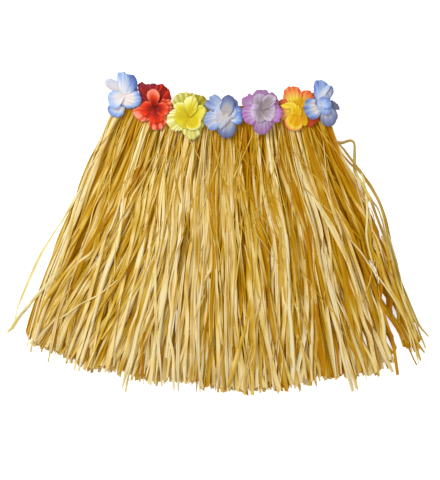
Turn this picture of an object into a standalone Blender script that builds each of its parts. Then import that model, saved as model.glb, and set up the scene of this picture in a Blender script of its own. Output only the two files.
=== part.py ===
"""Grass skirt laid flat and fanned out on a surface.

Tufts of raffia ribbon are looped over a flat elastic waistband, which lies folded shut, so a front layer
of tufts lies on a back layer. Seven cloth flowers, each of an outer and an inner ring of five petals, sit
on the front tufts where these wrap the band.

Frame: +X runs along the waist, +Y from the hem to the waist, +Z up from the surface. The origin is on the
surface, under the middle of the skirt's outline. Every tuft points away from one fan centre beyond the
waist, so places are given as (radius, angle): the distance from that centre in millimetres, and the angle
from -Y in degrees, positive towards +X. MM turns millimetres into Blender's metres.
"""
import math
import random
from collections import namedtuple

import bmesh
import bpy
from mathutils import Vector

MM = 0.001

# Fan: where the tufts point away from.
FAN_CENTRE_X = 7.0
FAN_CENTRE_Y = 638.7

# Pieces that touch keep this gap, and half of it is each piece's own share.
SEAM_GAP = 0.3
HALF_GAP = SEAM_GAP / 2

# Waistband: an elastic ribbon sewn into a loop and pressed flat.
BAND_RADIUS = 455.0
BAND_WIDTH = 16.0
BAND_WALL = 1.2
BAND_HALF_ANGLE = 18.9
BACK_RUN_HEIGHT = 3.1
FRONT_RUN_HEIGHT = 9.3
RUN_STEPS = 20
FOLD_STEPS = 5

# Tufts: sixteen in the front layer and sixteen in the back layer.
TUFTS_PER_LAYER = 16
# Points across a tuft, as fractions of its width.
TUFT_ACROSS = (0.0, 0.25, 0.75, 1.0)
BACK_EDGE_RISE = 0.5
WAIST_EDGE_ROUND = 0.7
BOUNDARY_SHIFT = 0.12
BOUNDARY_WANDER = 0.22
CROWN_SPREAD = 0.7
HEM_SPREAD = 7.0
SEED = 11

# One row for each station down the fringe: its radius, the height of the seam between the two layers, the
# height of the front layer, how far a tuft's edges fall below its middle, how much of the wander of the
# tuft boundaries and of the unevenness of their heights it has, and the angles of the skirt's two sides.
Station = namedtuple("Station", "radius seam top fall uneven left right")
STATIONS = (
    Station(452.0, 6.2, 12.4, 0.0, 0.0, -18.3, 18.3),
    Station(454.0, 6.2, 12.4, 0.0, 0.0, -18.3, 18.3),
    Station(478.0, 6.2, 12.4, 0.0, 0.0, -18.7, 18.6),
    Station(508.0, 6.3, 13.1, 0.4, 0.4, -19.5, 19.3),
    Station(560.0, 6.6, 14.2, 1.2, 1.0, -20.0, 19.9),
    Station(650.0, 6.5, 13.6, 1.4, 1.0, -20.2, 20.0),
    Station(740.0, 5.8, 12.0, 1.3, 1.0, -20.1, 20.1),
    Station(808.0, 5.0, 10.2, 1.1, 0.6, -19.9, 20.4),
)
HEM_THINNING = 0.35

# The hem's radius at some angles across the fan.
HEM = (
    (-20.5, 828.0),
    (-18.5, 852.0),
    (-12.0, 858.0),
    (-8.5, 866.0),
    (0.0, 867.0),
    (6.0, 866.0),
    (13.0, 878.0),
    (17.0, 874.0),
    (20.5, 850.0),
)

# Strands that have sprung out of the fan's sides: half of each one's width, and its route as (radius, angle)
# places. Each starts beside the outermost tuft.
STRAY_THICKNESS = 1.0
Stray = namedtuple("Stray", "name half_width route")
STRAYS = (
    Stray("stray_lock_left", 2.0, (
        (636.0, -20.42), (676.0, -20.80), (715.0, -21.38), (750.0, -21.70),
        (784.0, -21.74), (818.0, -21.50), (843.0, -21.62),
    )),
    Stray("stray_loop_right", 1.5, (
        (531.0, 19.70), (535.0, 20.40), (540.0, 21.10), (547.0, 21.05), (560.0, 20.30),
    )),
    Stray("stray_arc_right", 1.5, (
        (572.0, 20.07), (590.0, 20.85), (615.0, 21.40), (645.0, 21.46),
        (680.0, 20.95), (715.0, 20.60), (765.0, 20.75),
    )),
)

# Flowers: the sheet of a petal ring is a wall of PETAL_WALL. It is flat in the middle, rises to its own
# level, spreads out there, and turns up at the petals that have no neighbour beside them.
PETALS = 5
POINTS_PER_PETAL = 4
PETAL_WALL = 1.2
RING_STEP = 1.7
SEAT_HEIGHT = 12.7
SEAT_RADIUS = 6.0
THROAT_RADIUS = 13.0
FIRST_LEVEL_HEIGHT = 14.5
LEVEL_STEP = 2.2
PETAL_LIFT = 4.0
LIFT_STARTS_AT = 0.75
# How far a petal ring reaches at each of a petal's points: the notch before it, a shoulder, the tip and
# the other shoulder, as fractions of the petal's reach.
PETAL_OUTLINE = (0.64, 0.93, 1.0, 0.93)
INNER_REACH = 0.56

# Each flower's place, its level above its neighbours, the direction of its first petal from +X along the
# waist, anticlockwise, and the reach of its five outer petals in that order.
Flower = namedtuple("Flower", "name colour radius angle level turn reaches")
FLOWERS = (
    Flower("flower_1_blue", "petal_blue", 459.0, -18.03, 1, -4.0, (27.0, 34.0, 30.0, 25.0, 33.0)),
    Flower("flower_2_red", "petal_red", 461.5, -12.33, 0, 8.0, (28.0, 33.0, 30.0, 32.0, 35.0)),
    Flower("flower_3_yellow", "petal_yellow", 471.0, -6.00, 1, 6.0, (30.0, 36.0, 30.0, 30.0, 35.0)),
    Flower("flower_4_blue", "petal_blue", 464.0, 0.18, 2, -2.0, (29.0, 33.0, 33.0, 29.0, 35.0)),
    Flower("flower_5_purple", "petal_purple", 465.0, 7.17, 3, 0.0, (30.0, 33.0, 33.0, 29.0, 33.0)),
    Flower("flower_6_orange", "petal_orange", 471.0, 14.08, 0, -40.0, (32.0, 22.0, 34.0, 25.0, 34.0)),
    Flower("flower_7_blue", "petal_blue", 469.5, 17.99, 2, 2.0, (26.0, 32.0, 21.0, 29.0, 35.0)),
)

# Each material's colour (linear), roughness and metallic value.
MATERIALS = {
    "raffia": ((0.68, 0.44, 0.13), 0.55, 0.0),
    "elastic": ((0.72, 0.60, 0.38), 0.85, 0.0),
    "petal_blue": ((0.25, 0.42, 0.82), 0.70, 0.0),
    "petal_red": ((0.72, 0.06, 0.03), 0.70, 0.0),
    "petal_yellow": ((0.78, 0.72, 0.12), 0.70, 0.0),
    "petal_purple": ((0.52, 0.30, 0.66), 0.70, 0.0),
    "petal_orange": ((0.90, 0.38, 0.06), 0.70, 0.0),
}


def place(radius, angle, height):
    """The point in metres at a radius and a height in millimetres and an angle in degrees."""
    turn = math.radians(angle)
    across = FAN_CENTRE_X + radius * math.sin(turn)
    along = FAN_CENTRE_Y - radius * math.cos(turn)
    return Vector((across, along, height)) * MM


def between(rows, position, value_at):
    """Reads a table, straight between its rows and straight on past its ends."""
    for low, high in zip(rows, rows[1:]):
        if position <= high[0]:
            break
    share = (position - low[0]) / (high[0] - low[0])
    return value_at(low) + share * (value_at(high) - value_at(low))


def add_object(name, bm, material, root):
    """Turns a closed bmesh, with its faces turned outwards, into a named object under the skirt's empty."""
    bmesh.ops.recalc_face_normals(bm, faces=bm.faces)
    if bm.calc_volume(signed=True) < 0:
        bmesh.ops.reverse_faces(bm, faces=bm.faces)
    mesh = bpy.data.meshes.new(name)
    bm.to_mesh(mesh)
    bm.free()
    mesh.materials.append(material)
    obj = bpy.data.objects.new(name, mesh)
    bpy.context.collection.objects.link(obj)
    obj.parent = root
    return obj


def make_material(name):
    """A Principled material from its row in MATERIALS."""
    colour, roughness, metallic = MATERIALS[name]
    material = bpy.data.materials.new(name)
    material.use_nodes = True
    shader = material.node_tree.nodes["Principled BSDF"]
    shader.inputs["Base Color"].default_value = (*colour, 1.0)
    shader.inputs["Roughness"].default_value = roughness
    shader.inputs["Metallic"].default_value = metallic
    material.diffuse_color = (*colour, 1.0)
    return material


def band_route():
    """The band's middle line as (angle, height, outward angle part, outward height part) places."""
    fold_radius = (FRONT_RUN_HEIGHT - BACK_RUN_HEIGHT) / 2
    middle_height = (FRONT_RUN_HEIGHT + BACK_RUN_HEIGHT) / 2
    step = 2 * BAND_HALF_ANGLE / RUN_STEPS
    route = []
    for side in (1, -1):
        for index in range(RUN_STEPS):
            angle = side * (index * step - BAND_HALF_ANGLE)
            route.append((angle, middle_height + side * fold_radius, 0.0, side))
        for index in range(FOLD_STEPS):
            turn = math.pi * (0.5 - index / FOLD_STEPS)
            out, up = side * math.cos(turn), side * math.sin(turn)
            angle = side * BAND_HALF_ANGLE + math.degrees(out * fold_radius / BAND_RADIUS)
            route.append((angle, middle_height + up * fold_radius, out, up))
    return route


def band_mesh(clearance):
    """The closed loop of the band, thickened on every side by a clearance."""
    half_wall = BAND_WALL / 2 + clearance
    radii = (BAND_RADIUS - clearance, BAND_RADIUS + BAND_WIDTH + clearance)
    bm = bmesh.new()
    sections = []
    for angle, height, out, up in band_route():
        section = []
        for radius, side in ((radii[0], 1), (radii[1], 1), (radii[1], -1), (radii[0], -1)):
            shifted = angle + side * math.degrees(out * half_wall / BAND_RADIUS)
            section.append(bm.verts.new(place(radius, shifted, height + side * up * half_wall)))
        sections.append(section)
    for index, section in enumerate(sections):
        following = sections[(index + 1) % len(sections)]
        for corner in range(4):
            after = (corner + 1) % 4
            bm.faces.new((section[corner], section[after], following[after], following[corner]))
    return bm


def make_waistband(root, material):
    """Makes the folded elastic, and gives the cutter that leaves its room in every tuft."""
    add_object("waistband", band_mesh(0.0), material, root)
    cutter = add_object("waistband_room", band_mesh(SEAM_GAP), material, root)
    cutter.hide_render = True
    cutter.display_type = "WIRE"
    return cutter


def tuft_boundaries(rng):
    """For each boundary between tufts, its place across the fan and its wander, both 0 at the sides."""
    rows = [(0.0, 0.0)]
    for index in range(1, TUFTS_PER_LAYER):
        share = (index + rng.uniform(-BOUNDARY_SHIFT, BOUNDARY_SHIFT)) / TUFTS_PER_LAYER
        rows.append((share, rng.uniform(-BOUNDARY_WANDER, BOUNDARY_WANDER)))
    rows.append((1.0, 0.0))
    return rows


def boundary_angle(boundary, station):
    """The angle of a boundary at a station."""
    share, wander = boundary
    return station.left + share * (station.right - station.left) + wander * station.uneven


def hem_radius(angle):
    """How far the hem reaches at an angle."""
    return between(HEM, angle, lambda row: row[1])


def hem_station(radius):
    """The last station's row, continued to a radius, a little thinner."""
    last = STATIONS[-1]
    seam = between(STATIONS, radius, lambda row: row.seam)
    top = between(STATIONS, radius, lambda row: row.top) - HEM_THINNING
    return last._replace(radius=radius, seam=seam, top=top)


def tuft_columns(boundaries, index, rng):
    """A tuft's stations at each of its points across, with an uneven hem, as (station, angle) rows."""
    columns = []
    for share in TUFT_ACROSS:
        rows = []
        for station in STATIONS:
            inset = math.degrees(HALF_GAP / station.radius)
            left = boundary_angle(boundaries[index], station) + inset
            right = boundary_angle(boundaries[index + 1], station) - inset
            rows.append((station, left + share * (right - left)))
        angle = rows[-1][1]
        tip = hem_radius(angle) + rng.uniform(-HEM_SPREAD, HEM_SPREAD)
        rows.append((hem_station(tip), angle))
        columns.append(rows)
    return columns


def front_heights(station, at_edge, at_waist, crown):
    """The front layer's underside, on the seam, and its arched top."""
    low = station.seam + HALF_GAP
    high = station.top + crown * station.uneven
    if at_edge:
        high -= station.fall
    if at_waist:
        return low + WAIST_EDGE_ROUND, high - WAIST_EDGE_ROUND
    return low, high


def back_heights(station, at_edge, at_waist, crown):
    """The back layer's flat underside, raised at a tuft's edges, and its top, under the seam."""
    low = BACK_EDGE_RISE * (1 + crown) * station.uneven if at_edge else 0.0
    high = station.seam - HALF_GAP
    if at_waist:
        return low + WAIST_EDGE_ROUND, high - WAIST_EDGE_ROUND
    return low, high


def tuft_mesh(columns, heights, crown):
    """A closed slab through a tuft's stations: two skins, joined round their rim."""
    bm = bmesh.new()
    last = len(columns) - 1
    skins = ([], [])
    for number, rows in enumerate(columns):
        for skin in skins:
            skin.append([])
        for step, (station, angle) in enumerate(rows):
            pair = heights(station, number in (0, last), step == 0, crown)
            for skin, height in zip(skins, pair):
                skin[-1].append(bm.verts.new(place(station.radius, angle, height)))
    for skin in skins:
        for near, far in zip(skin, skin[1:]):
            for step in range(len(near) - 1):
                bm.faces.new((near[step], near[step + 1], far[step + 1], far[step]))
    for low, high in ((skins[0][0], skins[1][0]), (skins[0][last], skins[1][last])):
        for step in range(len(low) - 1):
            bm.faces.new((low[step], low[step + 1], high[step + 1], high[step]))
    for end in (0, -1):
        for number in range(last):
            low, low_next = skins[0][number][end], skins[0][number + 1][end]
            high, high_next = skins[1][number][end], skins[1][number + 1][end]
            bm.faces.new((low, low_next, high_next, high))
    return bm


def make_layer(side, heights, root, material, cutter, rng):
    """One layer of tufts, each looped round the band through the slot that the cutter leaves."""
    boundaries = tuft_boundaries(rng)
    for index in range(TUFTS_PER_LAYER):
        crown = rng.uniform(-CROWN_SPREAD, CROWN_SPREAD)
        columns = tuft_columns(boundaries, index, rng)
        name = f"tuft_{side}_{index + 1:02d}"
        tuft = add_object(name, tuft_mesh(columns, heights, crown), material, root)
        slot = tuft.modifiers.new("band_slot", "BOOLEAN")
        slot.operation = "DIFFERENCE"
        slot.solver = "EXACT"
        slot.object = cutter


def make_stray(stray, root, material):
    """A single strand lying on the surface: a flat strip along its route."""
    middle = [place(radius, angle, 0.0) for radius, angle in stray.route]
    bm = bmesh.new()
    sections = []
    for index, point in enumerate(middle):
        before = middle[max(index - 1, 0)]
        after = middle[min(index + 1, len(middle) - 1)]
        along = (after - before).normalized()
        sideways = Vector((-along.y, along.x, 0.0)) * stray.half_width * MM
        rise = Vector((0.0, 0.0, STRAY_THICKNESS * MM))
        corners = (point - sideways, point + sideways, point + sideways + rise, point - sideways + rise)
        sections.append([bm.verts.new(corner) for corner in corners])
    for section, following in zip(sections, sections[1:]):
        for corner in range(4):
            after = (corner + 1) % 4
            bm.faces.new((section[corner], section[after], following[after], following[corner]))
    bm.faces.new(sections[0])
    bm.faces.new(sections[-1])
    add_object(stray.name, bm, material, root)


def petal_outline(reaches, first_point):
    """The reach of a petal ring at each of its points, first_point places on from the first tip."""
    reach_at = []
    for petal in range(PETALS):
        before = reaches[petal - 1]
        for point, share in enumerate(PETAL_OUTLINE):
            base = (before + reaches[petal]) / 2 if point == 0 else reaches[petal]
            reach_at.append(share * base)
    return reach_at[first_point:] + reach_at[:first_point]


def petal_ring_mesh(flower, shift, reach_at):
    """One ring of petals: a wall through its seat, its throat and its outline."""
    seat = place(flower.radius, flower.angle, 0.0)
    count = PETALS * POINTS_PER_PETAL
    level = FIRST_LEVEL_HEIGHT + flower.level * LEVEL_STEP
    bm = bmesh.new()
    skins = []
    for height in (shift, shift + PETAL_WALL):
        centre = bm.verts.new(seat + Vector((0.0, 0.0, (SEAT_HEIGHT + height) * MM)))
        rings = ([], [], [])
        for point in range(count):
            direction = math.radians(flower.turn + 360.0 / count * point)
            steepness = max(0.0, abs(math.sin(direction)) - LIFT_STARTS_AT) / (1 - LIFT_STARTS_AT)
            rim = (level + PETAL_LIFT * steepness * reach_at[point] / max(flower.reaches))
            profile = ((SEAT_RADIUS, SEAT_HEIGHT), (THROAT_RADIUS, level), (reach_at[point], rim))
            for ring, (radius, profile_height) in zip(rings, profile):
                offset = Vector((math.cos(direction) * radius, math.sin(direction) * radius,
                                 profile_height + height))
                ring.append(bm.verts.new(seat + offset * MM))
        for point in range(count):
            after = (point + 1) % count
            bm.faces.new((centre, rings[0][point], rings[0][after]))
            for inner, outer in zip(rings, rings[1:]):
                bm.faces.new((inner[point], outer[point], outer[after], inner[after]))
        skins.append(rings[-1])
    for point in range(count):
        after = (point + 1) % count
        bm.faces.new((skins[0][point], skins[0][after], skins[1][after], skins[1][point]))
    return bm


def make_flower(flower, root, material):
    """An outer petal ring on the tufts and a smaller one in it, turned by half a petal."""
    outer = petal_outline(flower.reaches, 2)
    add_object(flower.name + "_outer", petal_ring_mesh(flower, 0.0, outer), material, root)
    inner = [INNER_REACH * reach for reach in petal_outline(flower.reaches, 0)]
    add_object(flower.name + "_inner", petal_ring_mesh(flower, RING_STEP, inner), material, root)


def main():
    for obj in list(bpy.data.objects):
        bpy.data.objects.remove(obj)
    root = bpy.data.objects.new("grass_skirt", None)
    bpy.context.collection.objects.link(root)
    materials = {name: make_material(name) for name in MATERIALS}
    rng = random.Random(SEED)
    cutter = make_waistband(root, materials["elastic"])
    make_layer("back", back_heights, root, materials["raffia"], cutter, rng)
    make_layer("front", front_heights, root, materials["raffia"], cutter, rng)
    for stray in STRAYS:
        make_stray(stray, root, materials["raffia"])
    for flower in FLOWERS:
        make_flower(flower, root, materials[flower.colour])


main()
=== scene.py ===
"""Finish of a grass skirt laid flat: every raffia ribbon, the elastic band and the cloth flowers.

Sizes are in millimetres until a mesh is made, where MM turns them into metres. Places on the skirt are
(radius, angle), as in the part's source: the distance from the fan centre beyond the waist, and the angle
from -Y in degrees, positive towards +X. A share is the part of the way across the fan, from 0 at its left
side to 1 at its right.
"""
import math
from collections import namedtuple

import bpy
import numpy as np
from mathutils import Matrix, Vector


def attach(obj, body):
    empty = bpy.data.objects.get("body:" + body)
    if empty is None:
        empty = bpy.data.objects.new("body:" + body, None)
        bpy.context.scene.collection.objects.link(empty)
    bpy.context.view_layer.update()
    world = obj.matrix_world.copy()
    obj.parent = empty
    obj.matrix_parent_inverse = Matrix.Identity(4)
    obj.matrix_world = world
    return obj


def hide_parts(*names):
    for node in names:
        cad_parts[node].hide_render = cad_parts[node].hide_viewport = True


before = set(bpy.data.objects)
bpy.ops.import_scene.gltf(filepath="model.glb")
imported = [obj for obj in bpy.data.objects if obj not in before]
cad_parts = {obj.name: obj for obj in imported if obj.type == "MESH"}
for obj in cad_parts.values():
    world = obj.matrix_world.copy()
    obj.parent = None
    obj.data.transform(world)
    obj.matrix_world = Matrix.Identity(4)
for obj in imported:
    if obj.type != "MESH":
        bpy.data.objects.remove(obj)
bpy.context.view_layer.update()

MM = 0.001
SEED = 23


def rows(text):
    """The rows of numbers in a text, with a comma after each but the last."""
    return [np.array(row.split(), float) for row in text.split(",")]


def table(text):
    """A table with as many numbers in each row."""
    return np.array(rows(text))


# Fan, waistband and tufts, as in the part's source.
FAN_CENTRE_X = 7.0
FAN_CENTRE_Y = 638.7
TUFTS_PER_LAYER = 16
BAND_RADIUS = 455.0
BAND_WIDTH = 16.0
BAND_WALL = 1.2
BAND_HALF_ANGLE = 18.9
BACK_RUN_HEIGHT = 3.1
FRONT_RUN_HEIGHT = 9.3
BAND_RUN_STEPS = 90
BAND_FOLD_STEPS = 14
BAND_COLUMNS = 61
BAND_RIBS = 10
BAND_RIB_DEPTH = 0.06

# The skirt's two sides: a radius, and the angles of the left and the right side there.
SIDES = table("""
    452 -18.6 18.3, 508 -19.45 18.25, 560 -19.8 18.4, 600 -20 19, 650 -20 19.8, 740 -20.2 20, 785 -20.2 20.2,
    815 -20 20.3, 880 -19.6 20.5""")

# The hem: an angle, and the hem's radius there. A ribbon's end is told as a share at the mean radius, and the
# hem is read at that share's angle a little nearer the waist. Most tips lie near the hem, with this shift and
# spread, and some are cut short or stand out of it: what part of them, and by how much.
HEM = table("""
    -20.5 830, -18.5 845, -16.6 847, -13 856, -10.8 851, -8 857, -5.3 855, -2.6 853, -1.2 865, 2 867, 6 865,
    8.2 863, 10 861, 12 869, 13.6 864, 15 871, 16.5 861, 18.1 846, 19.5 850, 21 843""")
HEM_MEAN = 850.0
HEM_SHARES_AT = 840.0
TIP_SHIFT = -2.5
TIP_SPREAD = 3.5
CUT_SHORT = 0.14
CUT_SHORT_BY = (12.0, 70.0)
CUT_LONG = 0.06
CUT_LONG_BY = (2.0, 8.0)

# Ribbons that reach out of the hem: the angle and the radius of each one's tip.
LONG_TIPS = rows("""
    -19.4 853, -18.9 856, -17 863, -16.5 861, -14.3 864, -13.9 863, -9.5 876, -9.1 880, -7.5 867, -6.9 863,
    -6.3 864, -5.7 864, -4.5 868, -4.1 869, -2.4 869, -2 868, 3 873, 5.6 871, 6.3 872, 12.5 889, 12.9 887,
    14 878, 15.2 876, 16.6 876, 17 882, 19 877, 19.5 873""")

# Ribbons that show along most of their length: what part of the front ribbons lies under them, the radii,
# and the angle of each one at those radii.
LEADERS_AFTER = 0.9
LEADER_RADII = (476.0, 545.0, 610.0, 670.0, 730.0, 790.0, 850.0)
LEADERS = rows("""
    -17.6 -17.2 -17.6 -18 -18.3 -18.6 -18.9, -18.2 -18.1 -18.6 -17.8 -18.2 -19.3 -19.8,
    -13 -14.3 -15.8 -16.7 -17.5 -18.4 -19.3, -16 -16 -16.3 -16.6 -17.3 -18.2 -19.4,
    -13.8 -14.1 -15 -15.5 -16.5 -17.3 -18.1, -14.2 -14.1 -14.2 -14.7 -16.1 -17.8 -19.1,
    -11.9 -12.6 -13.5 -14.2 -15.2 -16.5 -16.9, -12.5 -12.5 -12.7 -13.4 -13.6 -15.3 -15.5,
    -13.4 -13.3 -13.3 -13.3 -13.5 -14.1 -15, -10.6 -10.7 -11 -12.3 -12.9 -13 -12.9,
    -10.8 -10.7 -10.6 -10.9 -11.7 -12.3 -13.2, -8.7 -8.9 -9.5 -9.9 -10.3 -11.7 -12.6,
    -10.1 -10 -9.9 -9.9 -10.1 -10.6 -11.3, -8.6 -8.7 -8.8 -9 -9.1 -9.2 -9.4,
    -6.9 -7.3 -7.3 -7.8 -8.2 -8.6 -8.9, -6.8 -6.7 -6.7 -6.7 -6.9 -7.5 -8.1,
    -5.9 -6.1 -6.6 -6.6 -6.6 -6.6 -6.6, -7 -5.8 -5.9 -6 -7.2 -8.3 -9.4, -5.6 -5.7 -5.7 -5.7 -5.6 -5.5 -5.5,
    -3.7 -4.5 -4.4 -5.6 -6.6 -7.7 -8.7, -5.3 -5.3 -5.3 -5.5 -6 -6.5 -7.4, -4.7 -4.7 -4.6 -4.6 -4.4 -4.4 -4.4,
    -2.5 -2.8 -3.3 -3.5 -3.3 -3.1 -3, -2.7 -2.7 -2.7 -3 -3.5 -3.2 -2.8, -3.1 -3.1 -3.1 -2.9 -2.2 -2.1 -2,
    -2.5 -1.3 -2 -1.9 -1.3 -1.9 -1.9, -.9 -.9 -.9 -.9 -.9 -1 -.7, -.9 -1 -.9 -.9 -.6 -.4 -.2,
    -.6 -.6 -.7 -.5 .1 .1 .1, -0 .1 .4 .9 1.3 1.6 2, 1 1 1 .9 .8 .9 1, .6 .3 .9 1.4 1.8 2.3 2.8,
    1.3 1.4 1.4 1.4 1.3 1.1 .9, 1.5 1.5 1.5 1.5 1.5 1.8 2.2, 3.2 2.6 2.2 1.5 .9 .3 -.3,
    2.1 2 2.1 2.4 2.7 2.6 3.2, 2.3 2.6 3.6 4 3.8 3.7 3.5, 5.1 4.6 4.7 4.8 4.9 3.4 2.2,
    4.9 4.9 4.9 4.9 4.9 4.9 5.1, 5.9 5.8 5.6 5.6 5.8 6.1 6.3, 6.1 5.9 6.4 6.8 6.5 5.9 5.4,
    7.7 7.7 7.9 7.8 7.8 7.4 7.1, 8.9 8.9 8.9 8.8 8.6 8.4 8.3, 10.2 10.3 10.1 9.6 8.9 8.9 8.9,
    9.1 8.8 10.2 10.1 9.8 8.9 7.3, 9.5 10.2 10.6 10.7 10.9 11 11.2, 10.7 10.7 10.8 10.8 10.6 10.2 9.1,
    11.2 11.2 11.2 11.2 11.2 11.2 11.2, 11.9 11.8 11.8 11.5 10.4 9.6 8.8, 12.4 12.4 12.4 12.4 12.3 12.3 12.2,
    12.8 12.7 12.7 12.6 12.7 13 13.1, 12.9 12.9 12.8 12.8 13 13.7 14.1, 13.5 13.4 13.4 13.5 13.9 14.4 15,
    12.5 12.8 13.6 13.5 12.8 12.5 11.7, 15.1 15.1 15.1 15.1 15.4 15.6 15.9,
    15.1 15.1 15.2 15.6 15.9 15.8 15.6, 15.6 15.2 15.6 15.9 16.2 16.4 16.7,
    14.9 14.5 15.3 16.4 16.9 18.2 19.3, 17 17 17 17 17 16.9 16.8, 16.9 16.9 17.1 17.7 17.8 17.4 16.9,
    18.8 18.8 18.8 18.9 19.3 19.2 19.3, 20.1 20 19.7 19 18.7 18.4 18.1""")

# Places where the fringe parts and the surface shows: the angle and the radius of each, how far along the
# fringe it reaches, how far aside the ribbons lie, and how much it leans, in degrees.
PARTINGS = rows("""
    18.9 697 13 6.3 -4, 20.2 697 14 5.4 0, 17.9 725 20 5 -8, 18 770 10 5 27, 18.4 793 11 5 1,
    17.9 830 24 5 0, 14.8 819 11 4.5 0, 17 831 15 4.5 2""")

# How many threads to the metre the two woven cloths have.
ELASTIC_THREADS = 1250.0
PETAL_THREADS = 2600.0

# Raffia ribbons: the model's sides and sections, and where its run begins, below the band. Near the band it
# bends up to its loop, is narrower, and opens out to its full width at this part of its length.
RIBBON_SIDES = 6
WRAP_SECTIONS = 6
RUN_SECTIONS = 40
RIBBON_STEPS = WRAP_SECTIONS + RUN_SECTIONS - 1
RIBBON_THICKNESS = 0.3
RUN_START = 476.0
HEAD_BLEND = 26.0
HEAD_WIDTH = 0.5
FULL_WIDTH_AT = 0.34
DENSE_SAMPLES = 140
RIBBONS_PER_TUFT = {"back": 20, "front": 32}
# A ribbon's loop over the band: the height of its inner and its outer leg, with how much more that is for
# the outermost loop, and the radius of two places on the inner leg and one on the outer.
LEG_HEIGHTS = {"front": ((8.2, -1.5), (10.7, 1.5)), "back": ((4.3, 1.4), (1.9, -1.5))}
LEG_RADII = (471.0, 459.0, 460.0)
# The widths of the ribbons when they are opened out, what part of them is thin, and what part of them turns
# over once along its length.
WIDTHS = {"back": (4.0, 8.0), "front": (4.0, 8.6)}
THIN_RIBBONS = 0.14
THIN_WIDTHS = (1.6, 3.0)
LEADER_WIDTHS = (3.2, 7.0)
FIBRE_WIDTHS = (0.8, 1.9)
NARROWEST = 0.8
WIDEST = 9.0
TURNED_OVER = 0.25
# How wide the ribbons are across the fan: they are narrower along its sides. Then how far within the sides
# each layer keeps, as a share of the way across.
SIDE_WIDTHS = table("0 .66, .12 1, .8 1, 1 .7")
INSETS = {"back": 0.026, "front": -0.004}
# How a ribbon is folded along its length: how high its four points across stand, as parts of its fold.
FOLDS = table("""
    0 1 .8 0, 0 1 .1 .7, .6 0 1 .2, 0 .3 1 0, .9 .1 0 .8, 0 .9 .3 0, .1 0 .3 1""")
# How thick the pile of ribbons is at some radii.
PILE = table("476 12.6, 500 13.4, 560 15, 650 15, 740 13.6, 808 12, 880 9")
PILE_BLUR = 9
# The last ribbons laid, this part of the front ones, lie across the others. By share: how many tufts aside
# they end, and how much that varies for them and for the straight ones.
CROSSING_SHARE = 0.45
DRIFT = table("0 -.4, .07 -1.4, .2 -2.2, .32 -2.3, .44 -1.1, .57 -.4, .69 -1.2, .81 -1.4, .94 .2, 1 .2")
CROSSING_SPREAD = 1.0
STRAIGHT_SPREAD = 0.6
# How late a crossing ribbon turns aside, as a power of the way along it.
CROSSING_BEND = 1.4
# How a ribbon strays sideways: the size of its kinks, and of each wave with the fewest and the most turns
# that the wave takes along the ribbon.
KINK_SIZE = 5.5
LONG_WAVE = (2.2, 0.7, 1.5)
MID_WAVE = (1.2, 1.8, 3.4)
SHORT_WAVE = (0.5, 4.5, 8.0)
# How softly a ribbon turns at the fan's sides, and how much further in than its layer's inset, as shares.
SIDE_SOFTNESS = 0.01
SIDE_SPREAD = 0.034
# How a ribbon rests: how far ahead it lifts before it crosses another, its gap to what lies under it, and
# what part of its width it rises when it is rolled on edge.
REST_REACH = 2.7
REST_GAP = 0.15
EDGE_RISE = 0.3
# Within this height the ribbons flatten out on the surface.
SURFACE_SOFTNESS = 0.8

# Colour from 0, deep amber, to 1, cream: of the top of the pile, and how much less at its bottom, which is
# painted shade.
# Then how much the ribbons differ, one by one and in bunches.
TOP_TONE = 0.535
LEADER_TONE = 0.12
LONG_TIP_TONE = 0.12
GAP_PAINTED_SHADE = 0.9
TONE_SPREAD = 0.15
BUNCHES = 40
# How much darker a ribbon is painted along its rims, as painted shade where the ribbons shade each other.
RIM_PAINTED_SHADE = 0.08
# Across the fan: how much paler or darker the ribbons are, and how much stronger the painted shade in the
# pile's gaps is.
SHADES = table("""
    0 .18 .55, .06 .1 .75, .13 -.08 .85, .23 -.05 .8, .34 .13 .68, .45 .25 .85, .55 .04 1.2, .65 -.12 1.35,
    .75 .1 1.4, .87 -.2 1.25, .96 -.16 1.2, 1 -.18 1.2""")
# How much paler or darker they are near the waistband, over and above that, darker partly as painted shade
# under the flowers, and how far down this reaches.
HEAD_SHADES = table("0 .05, .15 0, .25 .1, .35 -.04, .45 .04, .55 -.18, .65 -.14, .75 .12, .87 -.1, 1 -.16")
HEAD_SHADES_REACH = 150.0
# Across the fan: how much the dark ribbons and the pale ribbons stand out from the others.
CONTRASTS = table("0 1 .6, .42 1.5 .6, .55 2.6 1.1, 1 2.6 1.15")
# Along the fan, by radius: how strong the painted shade in the pile's gaps is, and how much paler the ribbons
# are.
DEPTHS = table("476 1.1 -.04, 600 1 0, 700 .95 .02, 790 .7 .06, 860 .6 .12")
# A painted amber glow in the ribbons: emission that stands in for light coming through the thin ribbons, so
# that the pile's gaps are amber, not grey.
GLOW = 0.045
# Thin fibres that lie across the top of the skirt: how many start between two radii.
FIBRES = ((70, 500.0, 800.0), (60, 478.0, 540.0))
FIBRE_LENGTHS = (35.0, 120.0)
FIBRE_LEAN = 0.24

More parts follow.
